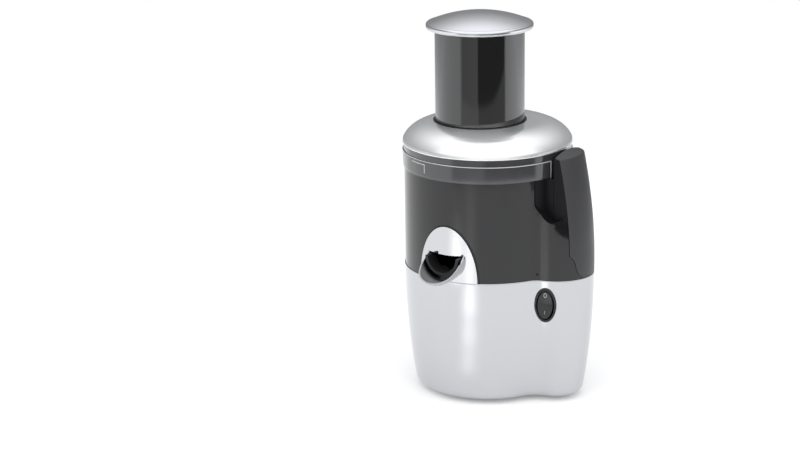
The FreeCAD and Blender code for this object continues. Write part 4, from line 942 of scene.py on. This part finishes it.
@dataclass
class JuiceBowl:
    """Smoky bowl with its spout and the black mouth of the outlet.

    Attributes:
        plan: Outline of the body.
        mark_angle: Place of the setting mark on the arc of the right-hand waist, in degrees.
        mark_w: Half width of the mark.
        mark_h: Height of the mark.
        mark_lift: Foot of the mark above the housing.
        mark_reach: Outer and inner face of the mark, outside the waist's arc.
        seam_r: Radius of the black bead that paints the shade in the gap round the spout's plate.
        seam_sunk: Depth of its middle inside the bowl's wall.
        seam_steps: Points along it.
        scoop_x: Place along X past which the finger scoops lie.
        scoop_y: Half of the width between them.
        scoop_room: Room past and before that width for the sides and for what runs along Y.
        scoop_z: Height above which they lie.
        scoop_side: Part along Y of the normal past which a face beside the handle is a scoop's side.
        scoop_run: Part along Y of the normal below which a face further out is in a scoop.
        scoop_back: Part along X of the normal past which the main circle is the back of a scoop.
    """

    plan: BodyPlan
    mark_angle: float = 118.5
    mark_w: float = 1.6
    mark_h: float = 3.2
    mark_lift: float = 5.4
    mark_reach: Pair = (0.8, 0.15)
    seam_r: float = 1.1
    seam_sunk: float = 0.3
    seam_steps: int = 120
    scoop_x: float = 70.0
    scoop_y: float = 27.0
    scoop_room: Pair = (1.5, 1.0)
    scoop_z: float = 196.0
    scoop_side: float = 0.9
    scoop_run: float = 0.15
    scoop_back: float = 0.87

    def in_scoop(self, middle: Array, normal: Array) -> Array:
        """True for faces of the finger scoops, which take painted shade.

        Args:
            middle: Middles of the faces.
            normal: Their normals.

        Returns:
            Whether each face is a flat side by the handle, runs along Y, or is the round back.
        """
        beside, facing = np.abs(middle[:, 1]), np.abs(normal[:, 1])
        side = (facing > self.scoop_side) & (beside < self.scoop_y + self.scoop_room[0])
        run = (facing < self.scoop_run) & (beside > self.scoop_y - self.scoop_room[1])
        back = (np.hypot(middle[:, 0], middle[:, 1]) < self.plan.main_r) & (normal[:, 0] > self.scoop_back)
        return (middle[:, 0] > self.scoop_x) & (middle[:, 2] > self.scoop_z) & (side | run | back)

    def build_mark(self) -> None:
        """Setting mark on the waist: a triangle carried through the wall's outside, closed at both ends."""
        x, y = self.plan.waist()
        turn = math.radians(self.mark_angle)
        way = np.array([math.cos(turn), math.sin(turn), 0.0])
        foot = high_z("base_housing") + self.mark_lift
        corners = np.array([(-self.mark_w, foot), (self.mark_w, foot), (0.0, foot + self.mark_h)])
        flat = np.array([x, -y, 0.0]) + corners[:, :1] * np.cross(UP, way) + corners[:, 1:] * UP
        reach = self.plan.waist_r + np.array(self.mark_reach)
        grid = flat[None, :, :] + reach[:, None, None] * way
        Piece("setting_mark", Body.BOWL, SCOOP_SHADE_AND_MARK).sweep(grid)

    def build_seam(self) -> None:
        """Painted shade in the gap round the spout's plate: a black bead on the half oval of its edge, on the
        bowl's wall.
        """
        bowl_r = AXIS[0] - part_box("bowl")[0].x / MM
        foot, half = low_z("spout"), half_width("spout", 0)
        turn = np.radians(np.linspace(0, 180, self.seam_steps))
        x = (half + self.seam_r / 2) * np.cos(turn)
        z = foot + (high_z("spout") - foot + self.seam_r / 2) * np.sin(turn)
        angle = np.degrees(np.arcsin(x / bowl_r)) - 90.0
        grid = bead(angle, z, bowl_r - self.seam_sunk, self.seam_r)
        # Black bead in the gap round the spout's plate: painted shade.
        Piece("spout_gap_shade", Body.BOWL, BLACK).sweep(grid)

    def build(self) -> None:
        """Gives bowl, spout and liner their finishes, with painted shade in the finger scoops, and adds the
        mark and the bead of painted shade round the spout's plate.
        """
        dress(SMOKE_BOWL, "bowl")
        # Faces of the finger scoops take a near-black finish: painted shade in the recesses.
        dress_faces(SCOOP_SHADE_AND_MARK, "bowl", self.in_scoop)
        dress(SPOUT, "spout")
        dress(BLACK, "spout_liner")
        self.build_mark()
        self.build_seam()


@dataclass
class LockHandle:
    """Satin handle and the lid lock inside it.

    Attributes:
        flank: Part along Y of the normal past which a face of the handle is one of its sides, painted
            near-black as shade.
    """

    flank: float = 0.85

    def build(self) -> None:
        """Gives the handle and the lock their finishes."""
        dress(SATIN, "handle")
        # Sides of the handle, picked by normal, take a near-black finish: painted shade.
        dress_faces(FLANK_SHADE, "handle", lambda _, normal: np.abs(normal[:, 1]) > self.flank)
        dress(BLACK, "rod_guide")
        dress(STEEL, "handle_screws", "interlock_rod", "rod_spring")


@dataclass
class Lid:
    """Grey lid under its bright dome.

    Attributes:
        sheet: Thickness of the dome's sheet.
        edge_h: Height of the dome's edge.
        edge_draft: How far the edge leans in on that height.
        swell_w: Width of its shoulder.
        swell_turn: Part of a quarter oval that the shoulder takes, in degrees.
        blend: Overlap of the shoulder's rings with the flat middle.
        seal_gap: Gap between the chute's seal and the dome.
        collar: Height of the edge turned down round the seal.
        rings: Rings on the flat middle, on the shoulder and on the edge.
        band_r: Outer radius of the raised band.
        band_h: Height of the band.
        band_w: Width of the band's section.
        band_round: Radii of the section's corners, from the inner lower one.
        band_free: Half of the band's opening at the handle, in degrees.
        band_steps: Points round the band.
        cover: What the band stands out past the lid's own.
        lug: First and last angle of the lug whose outline takes a painted glint on the band.
        lug_set: Distance of its outline from the band's upper and lower edge.
        bead_r: Radius of the light beads that paint glints on the edges.
        bead_steps: Points up the band's ends, across the lug and down its side.
    """

    sheet: float = 1.5
    edge_h: float = 4.0
    edge_draft: float = 0.45
    swell_w: float = 34.0
    swell_turn: float = 72.0
    blend: float = 4.0
    seal_gap: float = 0.1
    collar: float = 2.0
    rings: tuple[int, int, int] = (10, 40, 5)
    band_r: float = 90.0
    band_h: float = 17.5
    band_w: float = 2.0
    band_round: tuple[float, float, float, float] = (0.3, 1.7, 0.7, 0.2)
    band_free: float = 14.4
    band_steps: int = 300
    cover: float = 0.06
    lug: Pair = (238.0, 252.4)
    lug_set: Pair = (3.5, 5.0)
    bead_r: float = 0.42
    bead_steps: tuple[int, int, int] = (12, 16, 10)

    def dome_height(self, radius: Array) -> Array:
        """Height of the dome: flat in the middle, then the first part of a quarter oval down to the edge.

        Args:
            radius: Distance from the shaft.

        Returns:
            The height of the dome's outside there.
        """
        low, high = low_z("lid_dome"), high_z("lid_dome")
        edge, last = low + self.edge_h, math.radians(self.swell_turn)
        rim = half_width("lid_dome") - self.edge_draft
        share = np.clip((radius - rim + self.swell_w) / self.swell_w, 0, 1)
        drop = np.sqrt(1 - (share * math.sin(last)) ** 2)
        return edge + (high - edge) * (drop - math.cos(last)) / (1 - math.cos(last))

    def build_dome(self) -> None:
        """Dome: rings that go from the round opening for the chute to the dome's own edge."""
        outer, low = half_width("lid_dome"), low_z("lid_dome")
        hole, shoulder = half_width("chute_seal") + self.seal_gap, outer - self.swell_w + self.blend
        angle = around(TURN_STEPS)
        way = joined(np.cos(angle), np.sin(angle))
        share = np.linspace(0, 1, self.rings[0])[None, :, None]
        opening = np.array([middle_x("feed_chute"), 0.0]) + hole * way
        lean = np.sin(np.radians(np.linspace(0, 90, self.rings[1])))[None, 1:, None]
        top = np.concatenate([opening * (1 - share) + shoulder * way * share,
                              (shoulder + (outer - self.edge_draft - shoulder) * lean) * way], axis=1)
        z = self.dome_height(np.hypot(top[..., 0], top[..., 1]))
        skirt = np.linspace(1, 0, self.rings[2])[None, 1:]
        edge = (outer - self.edge_draft * skirt[..., None]) * way
        flat = np.concatenate([top[:, :1], top, edge], axis=1)
        z = np.concatenate([z[:, :1] - self.collar, z, low + self.edge_h * skirt + 0 * angle], axis=1)
        piece = Piece("bright_dome", Body.LID, PAINT, ["lid_dome"], sharp=50.0)
        made = piece.build(joined(flat[..., 0], flat[..., 1], z), close_columns=False)
        solid = made.modifiers.new("sheet", "SOLIDIFY")
        solid.thickness, solid.offset = self.sheet * MM, -1.0

    def build_band(self, low: float) -> None:
        """Raised band round the lid, open at the handle: a rounded section turned about the shaft.

        Args:
            low: Height of the band's lower edge.
        """
        inner, outer = self.band_r - self.band_w, self.band_r + self.cover
        foot, top = low - self.cover, low + self.band_h + self.cover
        corners = ((inner, foot), (outer, foot), (outer, top), (inner, top))
        section = rounded([(*corner, radius) for corner, radius in zip(corners, self.band_round)])
        grid = spun(section, self.band_steps, start=self.band_free, sweep=FULL_TURN - 2 * self.band_free)
        Piece("lid_band", Body.LID, GREY_LID).sweep(grid)

    def build_beads(self, low: float, high: float) -> None:
        """Painted glints: light beads on the band's edge, down at both of its ends, and on the outline of a
        lug below it.

        Args:
            low: Height of the band's lower edge.
            high: Height of its upper edge.
        """
        first, last = self.band_free, FULL_TURN - self.band_free
        rise_steps, across_steps, down_steps = self.bead_steps
        rise, ring = np.linspace(low, high, rise_steps), np.linspace(first, last, self.band_steps)
        edge = [joined(first, rise), joined(ring, high), joined(last, rise[::-1])]
        left, right = self.lug
        top, foot = high - self.lug_set[0], low + self.lug_set[1]
        across, down = np.linspace(left, right, across_steps), np.linspace(top, foot, down_steps)
        lug = [joined(across, top), joined(right, down)]
        # Thin light beads: painted glints along the band's edge and the lug's outline.
        for name, runs in (("lid_band_glint", edge), ("lid_lug_glint", lug)):
            grid = bead(*np.concatenate(runs).T, self.band_r, self.bead_r)
            Piece(name, Body.LID, LID_GLINT).sweep(grid)

    def build(self) -> None:
        """Makes the dome, the band and the light beads that paint glints on its edges."""
        low = low_z("lid")
        self.build_dome()
        self.build_band(low)
        self.build_beads(low, low + self.band_h)
        dress(GREY_LID, "lid")
        dress(RUBBER, "lid_seal", "chute_seal")


@dataclass
class FeedChute:
    """Smoky feed tube on the lid.

    Attributes:
        wall: Thickness of the tube.
        play: Gap between the tube and the pusher.
        rim: Radius of its rounded rims.
        flange_h: Height of its flange.
        small: Radius of the flange's corners.
        foot: Radius of the tube's lower corners.
        seat_r: Radius of the corner under the flange.
    """

    wall: float = 3.0
    play: float = 0.5
    rim: float = 1.2
    flange_h: float = 2.5
    small: float = 0.4
    foot: float = 0.6
    seat_r: float = 0.1

    def build(self) -> None:
        """Makes the tube: a rounded section turned about the chute's own axis."""
        inner = half_width("pusher_tube") + self.play
        outer, flange = inner + self.wall, half_width("feed_chute")
        low, high = low_z("feed_chute"), high_z("feed_chute")
        seat, top = high_z("lid"), high_z("lid") + self.flange_h
        section = rounded([(inner, low, self.foot), (outer, low, self.foot), (outer, seat, self.seat_r),
                           (flange, seat, self.small), (flange, top, self.small), (outer, top, self.small),
                           (outer, high, self.rim), (inner, high, self.rim)])
        piece = Piece("smoky_chute", Body.LID, SMOKE_CHUTE, ["feed_chute"])
        piece.build(spun(section, TURN_STEPS, middle_x("feed_chute")))


@dataclass
class Pusher:
    """Pusher in the feed tube with its bright cap.

    Attributes:
        under: Upward part of the normal below which a face of the cap takes painted shade: a darker silver on
            its underside.
    """

    under: float = -0.15

    def build(self) -> None:
        """Gives the pusher its finishes."""
        dress(DARK_CORE, "pusher_tube")
        dress(SILVER, "pusher_cap")
        # Downward faces of the cap take a darker silver: painted shade.
        dress_faces(CAP_PAINTED_SHADE, "pusher_cap", lambda _, normal: normal[:, 2] < self.under)


# Studio

@dataclass
class Studio:
    """Pale floor, soft light and camera.

    Directions are in degrees, from the camera's towards its right.

    Attributes:
        distance: Level distance from the camera to the shaft.
        height: Height of the camera.
        azimuth: Direction of the camera from the shaft, in degrees, from -Y towards +X.
        yaw: Turn of the view to the left of the shaft, in degrees.
        pitch: Tilt of the view below the horizon, in degrees.
        roll: Turn of the picture, in radians.
        lens: Focal length in millimetres.
        sensor: Width of the sensor in millimetres.
        floor_r: Radius of the floor.
        floor_steps: Points round the floor, and from its middle to its edge.
        floor_tone: Grey of the floor.
        floor_glow: Strength of its glow to the eye, metal and glass.
        walls: Level of the room at shares of a turn, with the camera at one half.
        foot_edge: Share in the middle of the room's grey foot, its height there, and how that rises.
        foot_soft: Steepness of the foot's edge.
        foot_end: Height of the foot's lower end.
        foot_level: Level of the foot, and what is added to it beside the dark room.
        horizon: Height where the ceiling starts, and how much that drops behind the object.
        horizon_soft: Steepness of the change there.
        behind: Part towards the camera below which a direction is behind the object.
        ceiling: Level above the horizon, from the back wall to the ceiling by the camera.
        ceiling_rise: Part towards the camera that counts as height, and the height of the last level.
        lamp_aim: Height that the lamps face.
        lamps: Name, direction, distance, height, width and watts of each lamp.
        pools: Direction, start, end, width and watts of each wedge of light on the floor.
        pool_rise: Height of a wedge's lamp for its distance.
        pool_tilt: Lean of that lamp, in degrees.
        pool_spread: Spread of its light, in degrees.
    """

    distance: float = 2200.0
    height: float = 812.0
    azimuth: float = 29.0
    yaw: float = 2.45
    pitch: float = 16.1
    roll: float = -0.0148
    lens: float = 96.0
    sensor: float = 36.0
    floor_r: float = 1000.0
    floor_steps: tuple[int, int] = (96, 6)
    floor_tone: float = 0.86
    floor_glow: float = 0.22
    walls: Stops = ((0.0, 1.15), (0.355, 1.12), (0.375, 0.45), (0.482, 0.5), (0.492, 0.13), (0.68, 0.13),
                    (0.695, 1.15), (0.75, 1.3), (0.9, 1.15))
    foot_edge: Triple = (0.492, -0.2228, 2.65)
    foot_soft: float = 450.0
    foot_end: float = -0.248
    foot_level: Pair = (0.37, 0.25)
    horizon: Pair = (-0.16, 0.12)
    horizon_soft: float = 10.0
    behind: float = -0.5
    ceiling: Stops = ((0.0, 0.25), (0.227, 0.275), (0.32, 0.375), (0.404, 0.47), (0.49, 0.62), (0.579, 0.87),
                      (0.652, 1.1), (0.69, 1.2), (1.0, 1.2))
    ceiling_rise: Pair = (0.9, 1.2)
    lamp_aim: float = 200.0
    lamps: Sequence[tuple[str, float, float, float, float, float]] = (
        ("key", -75.0, 1500.0, 1100.0, 900.0, 4.0), ("fill", 80.0, 1500.0, 900.0, 900.0, 2.0),
        ("top", 10.0, 300.0, 1700.0, 900.0, 4.0))
    pools: Sequence[tuple[float, float, float, float, float]] = (
        (-22.5, 300.0, 1000.0, 85.0, 0.2), (-22.5, 200.0, 300.0, 60.0, 0.012),
        (-22.5, 130.0, 200.0, 36.0, 0.003), (-40.0, 520.0, 760.0, 80.0, 0.1))
    pool_rise: float = 0.25
    pool_tilt: float = -14.0
    pool_spread: float = 90.0

    def away(self, angle: float) -> Array:
        """Level direction from the shaft."""
        turn = math.radians(self.azimuth + angle)
        return np.array([math.sin(turn), -math.cos(turn), 0.0])

    def place(self, angle: float, distance: float, height: float) -> Vector:
        """Place in a direction from the shaft, in metres."""
        return Vector((AXIS + distance * self.away(angle) + height * UP) * MM)

    def build_camera(self) -> None:
        """Camera at the photograph's place."""
        aim = Matrix.Rotation(math.radians(self.yaw), 3, "Z") @ Vector(-self.away(0.0))
        forward = aim * math.cos(math.radians(self.pitch)) - Vector(UP) * math.sin(math.radians(self.pitch))
        turned = forward.to_track_quat("-Z", "Y").to_matrix().to_4x4()
        data = bpy.data.cameras.new("camera")
        data.lens, data.sensor_width = self.lens, self.sensor
        camera = bpy.data.objects.new("camera", data)
        camera.matrix_world = (Matrix.Translation(self.place(0.0, self.distance, self.height)) @ turned
                               @ Matrix.Rotation(self.roll, 4, "Z"))
        bpy.context.scene.collection.objects.link(camera)
        bpy.context.scene.camera = camera

    def build_floor(self) -> None:
        """Round pale floor: rings of points out from the middle. It glows a little."""
        angle = around(self.floor_steps[0])
        ring = self.floor_r * np.linspace(0, 1, self.floor_steps[1])[None, :]
        grid = joined(ring * np.cos(angle), ring * np.sin(angle), 0.0)
        mesh = bpy.data.meshes.new("floor")
        faces = quads(*grid.shape[:2], True, False)
        mesh.from_pydata((grid.reshape(-1, 3) * MM).tolist(), [], faces.tolist())
        floor = bpy.data.objects.new("floor", mesh)
        bpy.context.scene.collection.objects.link(floor)
        made = bpy.data.materials.new("pale_floor")
        made.use_nodes = True
        tree = Tree(made.node_tree)
        matte = tree.add("ShaderNodeBsdfDiffuse", {"Color": (*[self.floor_tone] * 3, 1.0)})
        strength = tree.math("MULTIPLY", tree.seen(), self.floor_glow)
        glow = tree.add("ShaderNodeEmission", {"Strength": strength})
        both = tree.add("ShaderNodeAddShader", {0: matte.outputs[0], 1: glow.outputs[0]})
        tree.add("ShaderNodeOutputMaterial", {"Surface": both.outputs[0]})
        mesh.materials.append(made)

    def room(self, tree: Tree, share: Socket, height: Socket) -> Socket:
        """Walls below the horizon: dark by the camera and pale else, with a grey foot that the chute mirrors.

        The foot lies below its middle's height plus its rise times the cube of the share's distance from it.

        Args:
            tree: Tree of the world.
            share: Direction as a share of a turn.
            height: Upward part of the direction.

        Returns:
            The room's colour.
        """
        middle, level, rise = self.foot_edge
        past = tree.math("POWER", tree.math("ABSOLUTE", tree.math("SUBTRACT", share, middle)), 3.0)
        edge = tree.math("ADD", tree.math("MULTIPLY", past, rise), level)
        deep = tree.math("MULTIPLY", tree.math("SUBTRACT", edge, height), self.foot_soft)
        deep.node.use_clamp = True
        shown = tree.math("MULTIPLY", deep, tree.math("GREATER_THAN", height, self.foot_end))
        beside = tree.math("MULTIPLY", tree.math("LESS_THAN", share, middle), self.foot_level[1])
        foot = tree.math("MULTIPLY", shown, tree.math("ADD", beside, self.foot_level[0]))
        return tree.mix(1.0, tree.ramp(share, self.walls), foot, "LIGHTEN")

    def build_world(self) -> None:
        """Studio round the object, white to the eye and, behind the object, to metal and glass as well.

        Below the horizon is the room. Above it the level rises with the height and with the part towards the
        camera, from a grey back wall to a bright ceiling.
        """
        world = bpy.data.worlds.new("studio")
        bpy.context.scene.world = world
        world.use_nodes = True
        tree = Tree(world.node_tree)
        place = tree.add("ShaderNodeTexCoord").outputs["Generated"]
        feeds = {"Vector": place, "Angle": math.radians(90.0 - self.azimuth)}
        turn = tree.add("ShaderNodeVectorRotate", feeds, rotation_type="Z_AXIS")
        near, aside, height = tree.add("ShaderNodeSeparateXYZ", {0: turn.outputs[0]}).outputs
        share = tree.math("ADD", tree.math("DIVIDE", tree.math("ARCTAN2", aside, near), 2 * math.pi), 0.5)
        counted, top = self.ceiling_rise
        front = tree.math("MULTIPLY", tree.math("MAXIMUM", near, 0.0), counted)
        ceiling = tree.ramp(tree.math("DIVIDE", tree.math("ADD", height, front), top), self.ceiling)
        start, drop = self.horizon
        sunk = tree.math("MULTIPLY", tree.math("MINIMUM", near, 0.0), -drop)
        above = tree.math("ADD", tree.math("SUBTRACT", height, start), sunk)
        raised = tree.math("MULTIPLY", above, self.horizon_soft)
        level = tree.mix(raised, self.room(tree, share, height), ceiling)
        behind = tree.math("MULTIPLY", tree.math("LESS_THAN", near, self.behind),
                           tree.math("LESS_THAN", above, 0.0))
        studio = tree.add("ShaderNodeBackground", {"Color": level})
        plain = tree.add("ShaderNodeBackground", {"Color": (*WHITE, 1.0)})
        feeds = {0: tree.seen(behind), 1: studio.outputs[0], 2: plain.outputs[0]}
        shown = tree.add("ShaderNodeMixShader", feeds)
        tree.add("ShaderNodeOutputWorld", {"Surface": shown.outputs[0]})

    def build_area(self, name: str, matrix: Matrix, size: Pair, power: float, spread: float = 180.0) -> None:
        """Area lamp that lights the object but isn't seen, mirrored or seen through glass.

        Args:
            name: Name of the lamp.
            matrix: Its place and direction.
            size: Its width and length.
            power: Strength in watts.
            spread: Spread of its light, in degrees.
        """
        data = bpy.data.lights.new(name, "AREA")
        data.shape, data.size, data.size_y = "RECTANGLE", size[0] * MM, size[1] * MM
        data.spread, data.energy = math.radians(spread), power
        lamp = bpy.data.objects.new(name, data)
        lamp.matrix_world = matrix
        lamp.visible_camera = lamp.visible_glossy = lamp.visible_transmission = False
        bpy.context.scene.collection.objects.link(lamp)

    def build_lights(self) -> None:
        """Lamps that face the object, and wedges of light on the floor, which the shell mirrors as bands."""
        for name, angle, distance, height, size, power in self.lamps:
            place = self.place(angle, distance, height)
            aim = self.place(0.0, 0.0, self.lamp_aim) - place
            turned = aim.to_track_quat("-Z", "Y").to_matrix().to_4x4()
            self.build_area(name, Matrix.Translation(place) @ turned, (size, size), power)
        tilt = Matrix.Rotation(math.radians(self.pool_tilt), 4, "X")
        for angle, near, far, width, power in self.pools:
            middle = (near + far) / 2
            place = Matrix.Translation(self.place(angle, middle, middle * self.pool_rise))
            turned = Matrix.Rotation(math.radians(self.azimuth + angle), 4, "Z") @ tilt
            self.build_area("pool", place @ turned, (width, far - near), power, self.pool_spread)

    def build(self) -> None:
        """Makes the stage."""
        self.build_camera()
        self.build_floor()
        self.build_world()
        self.build_lights()
        bpy.context.scene.view_settings.view_transform = "Standard"


def main() -> None:
    """Builds and dresses the juicer and its stage."""
    logging.basicConfig(level=logging.INFO, format="%(message)s")
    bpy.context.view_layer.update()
    build_effects()
    switch = PowerSwitch()
    base = MotorBase(switch)
    for assembly in (switch, base, MotorWorks(), SpinBasket(), JuiceBowl(base.plan), LockHandle(), Lid(),
                     FeedChute(), Pusher(), Studio()):
        assembly.build()


if __name__ == "__main__":
    main()
